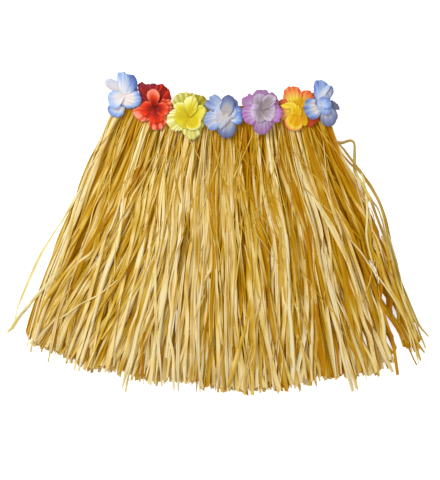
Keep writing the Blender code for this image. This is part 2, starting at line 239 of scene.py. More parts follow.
# Single ribbons that have sprung out of the fan's sides, or that lie across its top. A row is one ribbon:
# its width, its brightness, how faded it is, and the X and Y of each place on its route.
LOOSE_RIBBONS = {
    "stray_lock_left": """
    3.4 .2 .8 -197 65 -206 49 -215 33 -224 21 -234 7 -244 -9 -254 -25 -263 -43 -270 -59 -277 -75 -284 -91
    -290 -107 -293 -121 -296 -138,
    4.6 .24 .5 -226 -46 -238 -65 -247 -75 -255 -83 -266 -95 -277 -108 -287 -120 -296 -134 -305 -143,
    2.6 .28 .6 -267 -98 -279 -108 -289 -120 -298 -133""",
    "stray_loop_right": """
    4.4 .04 .85 172 136 178 132 184 133 190 136 196 138 200 137 202 133 202 123 202 108 202 96 204 86 209 76
    214 65 220 47""",
    "stray_arc_right": """
    3.4 -.04 .55 171 138 180 128 187 123 194 114 201 104 210 94 217 83 226 72 233 59 239 47 243 36 248 21
    251 7 254 -8 256 -22 261 -40 265 -57 272 -76 280 -95 288 -114 296 -133 310 -149,
    3.2 -.02 .4 178 123 185 112 194 104 203 97 210 91 217 80 225 69 232 57 238 46 242 34 246 20 249 5 252 -9
    255 -25 259 -43 264 -62 269 -79 278 -99 285 -117 294 -137 306 -166,
    3.4 .1 .5 211 89 214 72 217 57 218 43 218 24 217 2 220 -17 226 -40,
    2.2 .04 .7 214 66 219 60 226 51 235 40 238 33 242 21 245 7 249 -7 254 -25,
    2 .14 .5 249 4 254 -9 259 -25 264 -41 267 -59 269 -78 274 -95,
    4 -.02 .45 200 91 207 79 214 67 223 50 232 33 239 14 246 -5 252 -22 256 -46 262 -70 271 -94 280 -115 287
    -136 294 -167,
    3.6 -.04 .1 240 -2 246 -22 251 -46 256 -70 265 -94 274 -115 282 -137 293 -160 303 -172,
    4.8 -.02 0 226 1 233 -22 238 -40 243 -59 251 -78 259 -95 269 -115 280 -138 287 -162,
    2.4 .22 0 194 -8 209 -25 222 -44 233 -59 243 -73 254 -89 265 -107 274 -124 280 -144 284 -170,
    1.8 .08 .4 275 -127 281 -143 286 -157 291 -175 296 -189""",
    "top": """
    2 .28 0 -142 -65 -151 -73 -160 -80 -171 -88 -183 -94 -195 -100 -206 -107 -216 -115 -226 -122""",
}

# Flowers. Each ring of petals is one cut cloth, and a petal is a fan of rays from its base to its outline.
# Heights: the seat on the raffia, how much higher the inner ring, the first flowers, the flowers that lie on
# others and each next petal stand. Then how wavy the outlines are, the size of a petal's cloth map, and how
# much the pleats change its dye and its painted light and shade.
PETAL_RAYS = 54
PETAL_RINGS = 9
PETALS_PER_RING = 5
PETAL_THICKNESS = 0.35
PETAL_SEAT = 12.9
INNER_RISE = 1.9
FIRST_RISE = 1.6
LEVEL_STEP = 2.0
PETAL_STEP = 0.3
PETAL_START = 0.04
RUFFLES = {"outer": 0.3, "inner": 0.15}
CLOTH_WIDTH = 12.0
CLOTH_LENGTH = 20.0
PLEAT_DYE = 0.34
PLEAT_LIGHT = 0.19
SCALLOP = 0.022
# A painted glow of each petal's own colour, standing in for light that comes through the thin petals from
# behind and from their neighbours.
PETAL_GLOW = 0.14
# A petal: its base, in millimetres from the flower's middle; how high it stands halfway and at its tip, and
# how far its rim curls up; how many pleats it has and how deep; its dye at the base, at the rim, where the
# dye starts to change, and how much more on its first side; its brightness, partly dye and partly painted
# light and shade, at the base, at the rim, and how much more on its first side; its blush, partly painted
# shade, and where that starts; and the X and Y of each outline point.
Petal = namedtuple("Petal", "base_x base_y middle tip cup pleats depth dye_base dye_rim dye_start dye_side "
                            "light_base light_rim light_side blush blush_start outline")
# A flower: its name, its cloth, its place, how many flowers it lies on, and a row for each petal, the outer
# five first.
FLOWERS = (
    ("flower_1_blue", "petal_blue", -134.4, 200.8, 1, """
-3 -7 .5 .3 0 5 .5 -.1 .72 .4 .1 1 .95 -.03 0 0 -15 -6 -18 -13 -22 -16 -23 -20 -21 -26 -16 -30 -9 -32 -4
-31 0 -28 2 -21 4 -14 4 -10,
7 3 .5 .3 0 2 .3 .9 1 .3 0 .7 .6 0 .3 0 11 7 14 10 20 11 22 9 21 5 15 3,
-1 -7 1.2 1.4 -.5 3 .6 .1 .95 .3 -.4 1 .9 0 .05 0 -13 9 -7 20 -4 30 4 32 8 31 12 30 16 29 19 25 21 18 21
12 18 8 11 4 10 -4,
12 -8 1.2 1.4 .2 1 .25 .05 .2 .5 .05 .97 .95 .03 .2 0 11 12 -1 17 -7 20 -13 23 -19 25 -24 23 -27 18 -25
13 -20 9 -15 6 -12 -1 -6 -11,
-9 -2 1.2 .6 -.6 9 .9 -.1 .66 .5 -.1 1 1 0 0 0 -3 6 4 5 10 7 17 7 22 5 25 0 27 -6 25 -12 22 -16 18 -17
14 -19 12 -18 7 -20 4 -17 -5 -15,
0 -2 -.5 -.6 -.5 1 .15 .1 .16 .3 0 1 1 0 0 0 -1 -8 -3 -12 -7 -14 -9 -11 -9 -7 -6 -3,
-2 -5 .7 .2 -.3 3 .45 .1 .5 .3 -.12 1 .98 .04 0 0 -6 9 -9 17 -9 25 -9 32 -6 33 -3 33 1 35 4 33 7 29 10
23 12 16 11 7,
3 -1 1.4 1.2 .5 1 .3 .05 .5 .35 -.06 1 1 -.03 0 0 -6 7 -11 6 -16 6 -20 4 -22 0 -22 -6 -21 -12 -18 -17
-13 -20 -8 -20 -4 -15 -1 -10,
0 -4 -.5 -.6 -.5 1 .15 .12 .14 .3 0 1 1 0 0 0 -5 4 -2 8 2 9 6 5 6 0,
-2 0 -.5 -.8 -.6 2 .2 .08 .04 .3 0 1 1 0 0 0 4 3 8 0 9 -5 7 -9 3 -11 -1 -9"""),
    ("flower_2_red", "petal_red", -88.0, 184.9, 0, """
-1 4 .5 .6 -.5 3 .4 .15 .2 .5 0 .85 .85 0 .85 .7 -14 20 -12 29 -7 33 -2 34 1 33 6 30 9 20,
9 -10 .8 .8 -.5 8 .7 .1 .22 .5 .06 .84 .86 0 .5 .66 -15 -6 -19 9 -23 18 -25 25 -25 32 -21 36 -17 35 -14
32 -11 33 -7 32 -1 30 4 22 15 13,
-7 -9 .8 1 -.5 7 .6 .08 .24 .4 -.05 .84 .9 .06 0 0 -14 11 -5 20 -1 29 3 31 6 33 11 33 14 30 17 28 20 24
22 17 24 12 22 8 18 4 12 0 8 -9,
4 1 .8 .5 -.5 8 .7 .4 .95 .4 0 1 .98 0 0 0 -10 10 -20 4 -26 -1 -33 -5 -33 -8 -30 -13 -25 -18 -21 -22 -15
-22 -9 -19 -5 -13 2 -11,
0 2 .8 .3 -.5 7 .6 .5 .86 .4 -.1 1 .98 0 0 0 -10 -4 -9 -12 -10 -21 -9 -28 -5 -33 1 -34 7 -33 13 -30 16
-25 17 -20 14 -11 13 -2,
-1 0 .5 0 -.3 8 .7 .3 .9 .45 0 .96 .97 0 0 0 11 11 19 11 23 8 24 1 25 -4 22 -7 20 -12 16 -16 8 -17,
2 -2 1.3 1.1 .3 1 .3 -.05 .56 .12 .3 .92 1 0 0 0 -6 6 -12 7 -17 6 -21 1 -22 -5 -21 -10 -16 -14 -10 -17
-5 -14 -1 -9,
1 0 1 .6 0 3 .3 0 .56 .1 0 .94 1 0 0 0 -7 -8 -9 -15 -8 -21 -4 -25 2 -26 8 -23 12 -20 13 -14 9 -7,
-1 -2 1.2 1.1 .3 1 .3 -.05 .84 .15 .08 .92 .98 0 0 0 4 4 9 6 15 5 19 1 20 -4 19 -9 15 -14 10 -15 4 -10,
-1 -3 2 2.6 1 1 .2 .1 1 .1 .05 .66 .98 0 0 0 -7 7 -11 11 -12 15 -11 20 -8 23 -4 25 1 24 5 20 7 15 6 11 4
6"""),
    ("flower_3_yellow", "petal_yellow", -40.1, 171.8, 1, """
-4 -6 .8 1 -.5 7 .6 .25 .4 .5 0 .95 .92 0 .75 0 -12 15 -2 25 4 33 9 31 14 31 18 29 23 28 26 25 27 21 25
16 23 10 17 4 13 -5,
0 -6 .8 1 -.5 9 .8 .35 .78 .5 .1 .97 .95 0 .42 0 -15 -2 -17 7 -22 14 -23 20 -21 26 -17 31 -11 33 -5 34 1
33 7 32 11 29 9 16 13 6,
1 2 .6 .3 -.5 6 .5 .45 .6 .5 0 .96 .96 0 .2 0 9 16 20 15 25 11 27 5 26 -1 25 -8 22 -15 19 -20 15 -20 8
-13 1 -10,
4 2 .8 .5 -.5 9 .85 .5 .92 .3 .1 1 .98 0 .08 0 -11 14 -21 9 -26 6 -29 1 -32 -4 -31 -10 -28 -17 -24 -21
-18 -23 -12 -22 -7 -19 -2 -12 4 -9,
1 3 .8 .3 -.5 8 .8 .6 .8 .4 0 .98 .96 0 .2 0 -10 -5 -9 -13 -11 -20 -8 -25 -4 -30 0 -34 4 -35 9 -35 13
-31 17 -27 19 -20 18 -12 16 -2,
0 -1 1 1.1 .2 1 .3 .1 .85 .55 -.1 .97 1 0 0 0 -15 6 -21 11 -21 15 -17 18 -12 19 -7 18 -1 13,
3 -2 .9 .9 -.1 2 .3 .02 .3 .4 0 .96 .98 0 .06 0 -9 13 -17 7 -20 0 -21 -6 -17 -11 -12 -15 -7 -19 -2 -21 4
-14,
-2 -3 1 1.1 0 2 .4 .05 .56 .25 0 .98 1 0 0 0 8 12 16 15 21 15 25 10 25 4 22 -2 19 -7 14 -13 4 -14,
1 0 .8 1.1 .5 1 .3 .05 .98 .74 0 .98 1 0 0 0 -3 -12 -2 -17 1 -21 6 -22 11 -21 16 -18 18 -13 18 -7 12 -4,
0 -4 1.4 1.7 .2 1 .5 .02 .7 .3 .42 .96 1 .02 .08 0 -4 9 -7 16 -6 21 -2 25 3 27 9 27 13 23 14 17 13 11 11
5 5 -1"""),
    ("flower_4_blue", "petal_blue", 9.9, 174.7, 2, """
0 -8 1 1.2 -.5 4 .6 .6 .95 .2 0 .95 .8 .05 .35 0 -7 3 -3 10 -2 20 0 23 3 26 7 27 12 26 15 23 17 21 20 20
22 16 22 12 20 7 12 1 10 -5,
-3 -3 1 .5 -.5 6 .6 -.1 .86 .36 .1 1.08 1.12 0 0 0 4 13 14 13 22 11 26 9 28 5 28 -1 29 -7 28 -13 23 -16
18 -16 13 -14 8 -10 2 -11,
2 4 .6 .2 -.3 6 .5 0 1.05 .5 .1 .84 .84 0 .42 0 -12 -9 -9 -20 -8 -26 -5 -31 -1 -35 6 -36 12 -35 16 -30
19 -24 19 -19 17 -12 11 -6 11 0,
8 -7 1 .8 -.5 6 .7 0 .68 .3 .34 .98 .95 0 .22 0 -9 -8 -14 1 -22 7 -26 10 -27 14 -24 18 -20 20 -20 24 -16
26 -12 28 -7 26 -3 22 -1 16 1 9 8 5,
9 3 1 .5 -.5 8 .9 -.05 .56 .35 0 1 1 0 .22 0 -7 11 -16 5 -24 1 -26 -5 -28 -11 -26 -17 -21 -22 -15 -25
-10 -24 -7 -21 -3 -14 0 -7 6 -6,
4 -5 .9 .5 -.1 1 .4 .1 .32 .4 .12 .86 1 0 .15 0 1 14 -2 18 -5 16 -8 11 -11 6 -14 1 -13 -6 -9 -10 -3 -11,
0 -5 .9 .5 -.1 2 .35 .05 .4 .4 -.1 .98 1.06 0 .2 0 12 10 18 7 20 3 19 -3 14 -8 9 -11 3 -10,
5 1 .9 .5 -.1 2 .35 .05 .38 .5 0 .98 1.04 0 .4 0 -7 3 -10 -4 -10 -10 -8 -17 -4 -24 1 -20 7 -14 12 -7,
3 -7 1.1 1.1 -.2 1 .4 0 .84 .48 0 .72 .74 0 .4 0 -5 7 -2 16 1 21 7 24 12 22 16 17 17 10 15 3 11 -4,
1 1 .4 .2 -.2 1 .3 .02 .1 .4 0 .84 .96 0 .3 0 -1 -11 2 -14 6 -12 10 -9 14 -5 12 1 7 4"""),
    ("flower_5_purple", "petal_purple", 65.0, 179.8, 3, """
8 -5 .9 .8 -.5 7 .8 .25 .95 .4 -.1 1 .93 0 .32 0 -9 -10 -16 -1 -23 4 -28 7 -29 12 -28 16 -24 19 -20 20
-19 23 -16 23 -12 21 -7 18 5 15,
-3 -12 1 1 -.5 10 .8 .3 .85 .35 0 .95 .9 0 .42 0 -15 -2 -13 8 -13 20 -10 26 -7 28 -1 29 3 29 7 29 9 27
11 23 14 26 17 25 20 22 23 18 25 12 25 4 17 -2 13 -11,
-7 0 .9 .5 -.5 10 1 0 1.05 .45 0 1.06 1.18 0 0 0 8 15 20 10 25 6 29 1 31 -3 30 -8 28 -13 26 -17 22 -19
17 -19 12 -17 7 -12 -2 -12,
5 0 .9 .5 -.5 9 .95 .2 .92 .3 0 1 .97 0 .12 0 -7 11 -16 7 -24 5 -28 0 -28 -7 -26 -13 -24 -17 -20 -20 -15
-22 -10 -21 -5 -17 -1 -12 5 -10,
1 7 .8 .3 -.5 10 .9 .1 .9 .3 0 .96 .92 0 .4 0 -12 -3 -10 -13 -12 -23 -11 -29 -7 -34 -1 -36 4 -36 10 -33
14 -27 17 -22 18 -15 12 -7 12 1,
0 -5 1 .6 -.3 3 .35 0 .46 .35 0 .8 .86 0 .15 0 -10 4 -12 12 -11 19 -5 23 1 23 7 20 8 8,
4 -2 1 .6 -.3 2 .3 -.1 .5 .35 .1 .88 .99 0 .05 0 -7 10 -13 7 -16 0 -15 -7 -12 -13 -7 -16 -1 -12,
-3 0 1.2 .8 -.2 2 .35 0 .34 .4 0 1 1.26 0 0 0 9 9 16 10 20 5 21 -1 20 -9 16 -15 12 -18 6 -15 0 -9,
0 3 .8 .5 -.2 3 .3 0 .3 .4 0 .82 .96 0 .15 0 -9 -8 -9 -15 -5 -19 1 -19 6 -15 8 -7,
-2 -3 1.7 2 .3 1 .35 0 .5 .66 0 .94 1.16 0 .1 0 1 11 3 16 7 20 11 22 16 21 20 19 22 15 20 10 14 5 7 1"""),
    ("flower_6_orange", "petal_orange", 117.2, 179.1, 0, """
-2 3 .5 .3 0 3 .3 .8 1.05 .3 0 1 1 0 .66 0 3 -12 12 -13 14 -22 18 -24 22 -23 25 -20 28 -17 32 -14 32 -9
26 -3 18 7,
-9 -9 .9 .8 -.5 7 .6 .25 1 .4 -.08 1 1 0 0 0 -11 14 1 22 6 28 10 29 15 30 20 28 23 24 26 19 29 15 23 9
10 3 7 -7,
-3 -11 .9 .8 -.5 9 .8 .22 .98 .45 0 .98 .99 0 0 0 -17 -1 -16 9 -20 17 -21 20 -20 24 -19 29 -16 33 -12 35
-7 35 -2 35 1 34 5 30 8 23 7 10 10 0,
-9 4 .6 .5 -.3 2 .3 .7 1 .3 0 .92 .92 0 .3 0 -18 7 -24 8 -27 11 -28 13 -24 16 -19 17 -12 14,
4 3 .6 .5 -.3 4 .5 .1 .8 .3 0 1 1 0 .04 0 -10 12 -19 7 -23 2 -23 -7 -24 -10 -22 -14 -17 -15 -12 -14 -7
-10 0 -9,
2 0 .7 .3 -.2 2 .5 .02 .12 .4 0 .93 .97 0 0 0 0 14 2 19 7 19 12 15 14 7 14 -1 15 -10 16 -18 12 -23 7 -22
4 -14 -1 -9,
0 -7 .9 .6 -.1 2 .35 0 .1 .4 0 .9 .95 0 0 0 -10 6 -7 12 -1 16 4 18 9 15 9 7 7 -3,
2 2 .9 .4 -.2 4 .4 .06 .86 .7 .24 .98 1 0 0 0 -11 -3 -17 -10 -19 -16 -17 -22 -13 -27 -7 -30 -2 -30 3 -29
7 -24 8 -17 7 -7,
1 5 1.2 1 .1 1 .4 .3 .4 .4 0 1 1.05 0 0 0 -4 11 -10 12 -16 11 -21 9 -25 7 -22 4 -17 2 -11 3 -4 2,
1 -8 1 .9 .1 1 .4 .12 .3 .5 0 .98 1.02 0 0 0 -8 -7 -10 1 -8 7 -3 9 2 7 6 0 6 -7"""),
    ("flower_7_blue", "petal_blue", 151.3, 188.5, 2, """
3 -2 .6 .4 0 1 .2 .8 .9 .3 0 .72 .66 0 .7 0 7 5 12 5 17 5 21 2 25 -1 27 -6 27 -9 24 -9 20 -8 15 -7 9 -7
6 -7,
0 8 .8 .4 -.4 7 .6 0 1.02 .5 0 .97 .92 0 .5 0 -7 -7 -1 -14 -1 -22 1 -28 5 -31 11 -33 17 -32 21 -27 24
-21 24 -15 22 -9 17 -4 14 5,
9 3 1 .6 -.5 10 1 -.1 .8 .45 0 .95 .95 0 .16 0 1 10 -4 7 -11 8 -17 8 -21 6 -24 1 -25 -5 -24 -12 -21 -17
-17 -21 -12 -23 -7 -22 -2 -18 1 -10 8 -8,
-6 -6 1 1.2 -.4 4 .5 .05 .78 .7 -.1 .9 .86 -.04 .5 0 -9 6 -3 11 1 17 6 22 11 25 14 27 17 25 18 20 18 15
15 10 10 7 4 4 4 -3,
2 -9 1.2 1.5 -.6 5 .7 .3 .76 .4 .2 1.02 1.04 0 .12 0 -9 -2 -8 7 -10 12 -11 17 -11 20 -11 24 -11 28 -9 33
-5 33 -1 35 3 34 7 30 11 27 8 18 14 7,
-1 0 .9 .8 -.1 1 .3 .3 .5 .4 .1 .98 1 0 0 0 -7 7 -9 13 -8 18 -4 20 0 19 2 15 1 8,
-4 -1 .9 1 -.1 1 .3 .15 .42 .5 0 1 1.03 0 0 0 -4 9 -2 16 2 21 7 26 12 27 14 25 11 20 7 16 3 9,
3 1 .9 .7 -.1 1 .3 .2 .5 .4 0 .98 1 0 .08 0 -5 5 -6 -3 -4 -9 -1 -14 4 -10 7 -2,
2 3 1 .9 0 2 .35 .24 .64 .4 0 .9 .94 0 .05 0 -3 -5 -1 -12 3 -16 9 -17 13 -14 15 -8 13 -1,
-1 -2 1.2 1.3 .1 2 .4 .34 .74 .3 0 .94 1 0 0 0 -3 7 2 10 7 9 12 6 15 1 15 -5 11 -9 4 -9"""),
)

# Each petal cloth: its blush, a second colour that is partly dye and partly painted shade, and its dyes
# from the base of a petal, 0, to its rim, 1. For the red, yellow and purple cloths the dyes are darker at
# the base, partly as painted shade in the flowers' throats.
PETAL_CLOTHS = {
    "petal_blue": ("766F7A", "0 C3B9B5, .2 B2B4C0, .42 8CA2C3, .7 687EB6, 1 43578C"),
    "petal_red": ("542340", "0 6E0900, .22 8B1000, .5 B82400, .75 C4441F, 1 D07460"),
    "petal_yellow": ("7E7518", "0 B09800, .3 B9AE20, .62 BFB956, .85 C7C27A, 1 CEC78E"),
    "petal_purple": ("6E5C66", "0 7E7278, .25 998B9A, .5 AE9CBB, .75 A075AB, 1 955899"),
    "petal_orange": ("882000", "0 B87F00, .15 C09600, .38 C7B136, .7 C98C42, 1 C0502C"),
}

rng = np.random.default_rng(SEED)
BUNCH_TONES = rng.normal(0.0, TONE_SPREAD, BUNCHES)


def look_up(numbers, at, column=1):
    """A column of a table at some values of its first column."""
    return np.interp(at, numbers[:, 0], numbers[:, column])


def polar(radius, angle):
    """X and Y in millimetres of places given by radius and angle."""
    turn = np.radians(angle)
    return FAN_CENTRE_X + radius * np.sin(turn), FAN_CENTRE_Y - radius * np.cos(turn)


def smooth(value):
    """A soft step from 0 to 1."""
    value = np.clip(value, 0.0, 1.0)
    return value * value * (3 - 2 * value)


def side_angles(radius):
    """The angles of the skirt's left and right sides at a radius."""
    return look_up(SIDES, radius, 1), look_up(SIDES, radius, 2)


def share_angle(radius, share):
    """The angle at a share of the way across the fan."""
    left, right = side_angles(radius)
    return left + share * (right - left)


def angle_share(radius, angle):
    """The share of the way across the fan at an angle."""
    left, right = side_angles(radius)
    return (angle - left) / (right - left)


def fan_place(x, y):
    """The radius of some places, and their share of the way across the fan."""
    x, y = x - FAN_CENTRE_X, FAN_CENTRE_Y - y
    radius = np.hypot(x, y)
    return radius, angle_share(radius, np.degrees(np.arctan2(x, y)))


def tuft_at(share):
    """The tuft, from 0, at a share of the way across the fan."""
    return int(np.clip(share, 0, 0.99) * TUFTS_PER_LAYER)


def tuft_node(layer, tuft):
    """The name of a tuft's node."""
    return f"tuft_{layer}_{tuft + 1:02d}"


def unit(arrows):
    """Arrows of the same directions, each of length 1."""
    return arrows / np.linalg.norm(arrows, axis=1)[:, None]


def running_length(places):
    """How far along a line of places each of them is."""
    steps = np.linalg.norm(np.diff(places, axis=0), axis=1)
    return np.concatenate(((0.0,), np.cumsum(steps)))


# --- Modelling and pieces ------------------------------------------------------------------------------


def clear_selection():
    """Leaves nothing selected, so that an operator acts on the next piece alone."""
    if bpy.context.object and bpy.context.object.mode != "OBJECT":
        bpy.ops.object.mode_set(mode="OBJECT")
    bpy.ops.object.select_all(action="DESELECT")


def open_model():
    """Opens the piece that was just added, so that it can be cut and shaped."""
    bpy.ops.object.transform_apply(location=True, rotation=True, scale=True)
    bpy.ops.object.mode_set(mode="EDIT")
    bpy.ops.mesh.select_all(action="SELECT")


def take_model():
    """The points and faces of the piece that was just modelled, which is cleared away."""
    bpy.ops.object.mode_set(mode="OBJECT")
    model = bpy.context.object
    points = np.array([v.co for v in model.data.vertices])
    faces = [tuple(face.vertices) for face in model.data.polygons]
    bpy.data.objects.remove(model)
    return points, faces


def repeat_faces(faces, size, count):
    """The faces of a number of copies of a model that has so many points."""
    return [[vertex + copy * size for vertex in face] for copy in range(count) for face in faces]


def add_object(name, data):
    """A new object in the scene."""
    thing = bpy.data.objects.new(name, data)
    bpy.context.collection.objects.link(thing)
    return thing


def add_piece(name, points, faces, material, values, maps, rounded=True):
    """A piece from its points in millimetres, its faces, the values at its points and its maps."""
    mesh = bpy.data.meshes.new(name)
    mesh.from_pydata((points * MM).tolist(), [], faces)
    for key, value in values.items():
        mesh.attributes.new(key, "FLOAT", "POINT").data.foreach_set("value", value.astype(np.float32))
    for key, places in maps.items():
        mesh.uv_layers.new(name=key).data.foreach_set("uv", places.astype(np.float32).ravel())
    mesh.uv_layers.active = mesh.uv_layers[0]
    mesh.materials.append(material)
    mesh.polygons.foreach_set("use_smooth", np.full(len(mesh.polygons), rounded))
    mesh.update()
    return add_object(name, mesh)


def declare(piece, node):
    """Says which body a piece rides on and which node it replaces."""
    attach(piece, "root")
    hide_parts(node)


# --- Materials -----------------------------------------------------------------------------------------


def connect(socket, value):
    """Gives a socket a link, a number or a colour."""
    if isinstance(value, bpy.types.NodeSocket):
        socket.id_data.links.new(value, socket)
    else:
        socket.default_value = value


def set_inputs(node, **values):
    """Sets or links some of a node's inputs, by name."""
    for name, value in values.items():
        connect(node.inputs[name.replace("_", " ")], value)


def add_node(tree, kind, **values):
    """A node with some of its settings and inputs, by name."""
    node = tree.nodes.new("ShaderNode" + kind)
    for name, value in values.items():
        if hasattr(node, name):
            setattr(node, name, value)
        else:
            set_inputs(node, **{name: value})
    return node


def maths(tree, operation, *values):
    """A Math node on some links or numbers."""
    node = add_node(tree, "Math", operation=operation)
    for socket, value in zip(node.inputs, values):
        connect(socket, value)
    return node.outputs["Value"]


def weigh(tree, source, weight, plus):
    """A value times a weight, plus another value."""
    return maths(tree, "MULTIPLY_ADD", source, weight, plus)


def srgb(digits):
    """A linear colour from its six hexadecimal digits."""
    values = [int(digits[i:i + 2], 16) / 255 for i in (0, 2, 4)]
    return (*(v / 12.92 if v <= 0.04045 else ((v + 0.055) / 1.055) ** 2.4 for v in values), 1.0)


def colour_scale(tree, place, text):
    """The colour at a place, 0 to 1, on a scale of positions and hexadecimal colours."""
    node = add_node(tree, "ValToRGB", Fac=place)
    stops = [stop.split() for stop in text.split(",")]
    elements = node.color_ramp.elements
    for element, (position, digits) in zip(elements, (stops[0], stops[-1])):
        element.position, element.color = float(position), srgb(digits)
    for position, digits in stops[1:-1]:
        elements.new(float(position)).color = srgb(digits)
    return node.outputs["Color"]


def mix_colours(tree, blend, share, first, second):
    """Mixes two colours, each a link or a plain colour."""
    node = add_node(tree, "Mix", data_type="RGBA", blend_type=blend, Factor=share)
    for socket, value in zip([socket for socket in node.inputs if socket.type == "RGBA"], (first, second)):
        connect(socket, value)
    return [socket for socket in node.outputs if socket.type == "RGBA"][0]


def attribute(tree, name):
    """The value that a piece keeps at each of its points under a name."""
    return add_node(tree, "Attribute", attribute_name=name).outputs["Fac"]


def map_place(tree, name):
    """The place on a piece's map."""
    return add_node(tree, "UVMap", uv_map=name).outputs["UV"]


def bumps(tree, height, strength, distance):
    """A surface's normal over fine bumps."""
    return add_node(tree, "Bump", Strength=strength, Distance=distance, Height=height).outputs["Normal"]


def stretched_noise(tree, place, along, across, detail):
    """Noise that is drawn out along a ribbon: its scale along and across, in turns to the metre."""
    stretch = add_node(tree, "VectorMath", operation="MULTIPLY")
    connect(stretch.inputs[0], place)
    connect(stretch.inputs[1], (along, across, 1.0))
    noise = add_node(tree, "TexNoise", noise_dimensions="2D", Scale=1.0, Detail=detail,
                     Vector=stretch.outputs["Vector"])
    return noise.outputs["Fac"]


def new_group(name, inputs, outputs):
    """A new node group: the group, its inputs and its end node."""
    group = bpy.data.node_groups.new(name, "ShaderNodeTree")
    for label, kind in inputs.items():
        group.interface.new_socket(label, in_out="INPUT", socket_type="NodeSocket" + kind)
    for label in outputs:
        group.interface.new_socket(label, in_out="OUTPUT", socket_type="NodeSocketFloat")
    return group, group.nodes.new("NodeGroupInput").outputs, group.nodes.new("NodeGroupOutput")


def new_material(name, **inputs):
    """A new material: the material, its node tree and its shader, with some of the shader's inputs set."""
    material = bpy.data.materials.new(name)
    material.use_nodes = True
    shader = material.node_tree.nodes["Principled BSDF"]
    set_inputs(shader, **inputs)
    return material, material.node_tree, shader


def make_fibre_group():
    """Dry leaf fibre: slow patches of paler and darker colour along a ribbon, partly the leaf's own and
    partly painted highlights, streaks along its fibres, and ridges.
    """
    group, start, end = new_group("raffia_fibre", {"Vector": "Vector"}, ("Patches", "Streaks", "Ridges"))
    place = start["Vector"]
    set_inputs(end, Patches=stretched_noise(group, place, 24.0, 70.0, 1.0),
               Streaks=stretched_noise(group, place, 16.0, 900.0, 2.0),
               Ridges=stretched_noise(group, place, 60.0, 3600.0, 1.0))
    return group


def make_weave_group():
    """A plain weave: threads that pass over and under each other, so many to the metre."""
    group, start, end = new_group("plain_weave", {"Vector": "Vector", "Threads": "Float"}, ("Height",))
    parts = add_node(group, "SeparateXYZ", Vector=start["Vector"])
    turns = [maths(group, "MULTIPLY", parts.outputs[axis], start["Threads"]) for axis in "XY"]
    crossing = maths(group, "ADD", *(maths(group, "FLOOR", turn) for turn in turns))
    odd = maths(group, "ABSOLUTE", maths(group, "MODULO", crossing, 2.0))
    weft, warp = (maths(group, "ABSOLUTE", maths(group, "SINE", maths(group, "MULTIPLY", turn, math.pi)))
                  for turn in turns)
    set_inputs(end, Height=add_node(group, "Mix", Factor=odd, A=weft, B=warp).outputs["Result"])
    return group


def woven(tree, weave_group, threads, place):
    """The height of a plain weave with so many threads to the metre."""
    return add_node(tree, "Group", node_tree=weave_group, Threads=threads, Vector=place).outputs["Height"]


def make_raffia():
    """Dry raffia: amber low in the pile as painted shade, straw to cream on top, in streaks that follow each
    ribbon.
    """
    # The emission is a painted amber glow, standing in for light that comes through the thin ribbons.
    material, tree, shader = new_material(
        "raffia_ribbon", Specular_IOR_Level=0.16, Specular_Tint=(1.0, 0.78, 0.38, 1.0),
        Emission_Color=(1.0, 0.38, 0.0, 1.0), Emission_Strength=GLOW)
    fibre = add_node(tree, "Group", node_tree=make_fibre_group(), Vector=map_place(tree, "ribbon")).outputs
    # The slow patches lift the tone in places: partly the leaf's own uneven colour, partly painted highlights
    # where a twisting ribbon would catch the light.
    patched = weigh(tree, fibre["Patches"], 0.8, attribute(tree, "tone"))
    place = weigh(tree, weigh(tree, fibre["Streaks"], 0.5, patched), 1.0, -0.65)
    golden = colour_scale(tree, place, "0 9A6700, .35 A67C00, .5 B29332, .65 C3AA5A, .8 CDBB7C, 1 C9BC8A")
    pale = colour_scale(tree, place, "0 945E00, .35 9E780C, .5 AE8F46, .65 C1A66E, .8 CDBA8A, 1 CBC09F")
    hue = attribute(tree, "hue")
    faded = maths(tree, "MAXIMUM", weigh(tree, hue, -1.0, 0.0), 0.0)
    fade = add_node(tree, "HueSaturation", Color=mix_colours(tree, "MIX", hue, golden, pale),
                    Hue=weigh(tree, faded, 0.022, 0.5), Saturation=weigh(tree, faded, -0.24, 1.0),
                    Value=weigh(tree, faded, -0.12, 1.0))
    set_inputs(shader, Base_Color=fade.outputs["Color"], Roughness=weigh(tree, fibre["Streaks"], -0.3, 0.6),
               Normal=bumps(tree, fibre["Ridges"], 0.35, 0.0003))
    return material


def make_elastic(weave_group):
    """Matt woven elastic: straw-coloured, with lengthwise ribs and fine threads across."""
    material, tree, shader = new_material("woven_elastic", Specular_IOR_Level=0.2, Sheen_Weight=0.05)
    place = map_place(tree, "band")
    weave = woven(tree, weave_group, ELASTIC_THREADS, place)
    worn = add_node(tree, "TexNoise", noise_dimensions="2D", Scale=90.0, Detail=3.0, Vector=place)
    worn = worn.outputs["Fac"]
    threads = weigh(tree, weigh(tree, weave, 0.7, worn), 0.8, -0.1)
    set_inputs(shader, Base_Color=colour_scale(tree, threads, ".3 8E7648, .7 BFA877, 1 DCCAA0"),
               Roughness=weigh(tree, worn, 0.25, 0.6), Normal=bumps(tree, weave, 0.5, 0.0002))
    return material


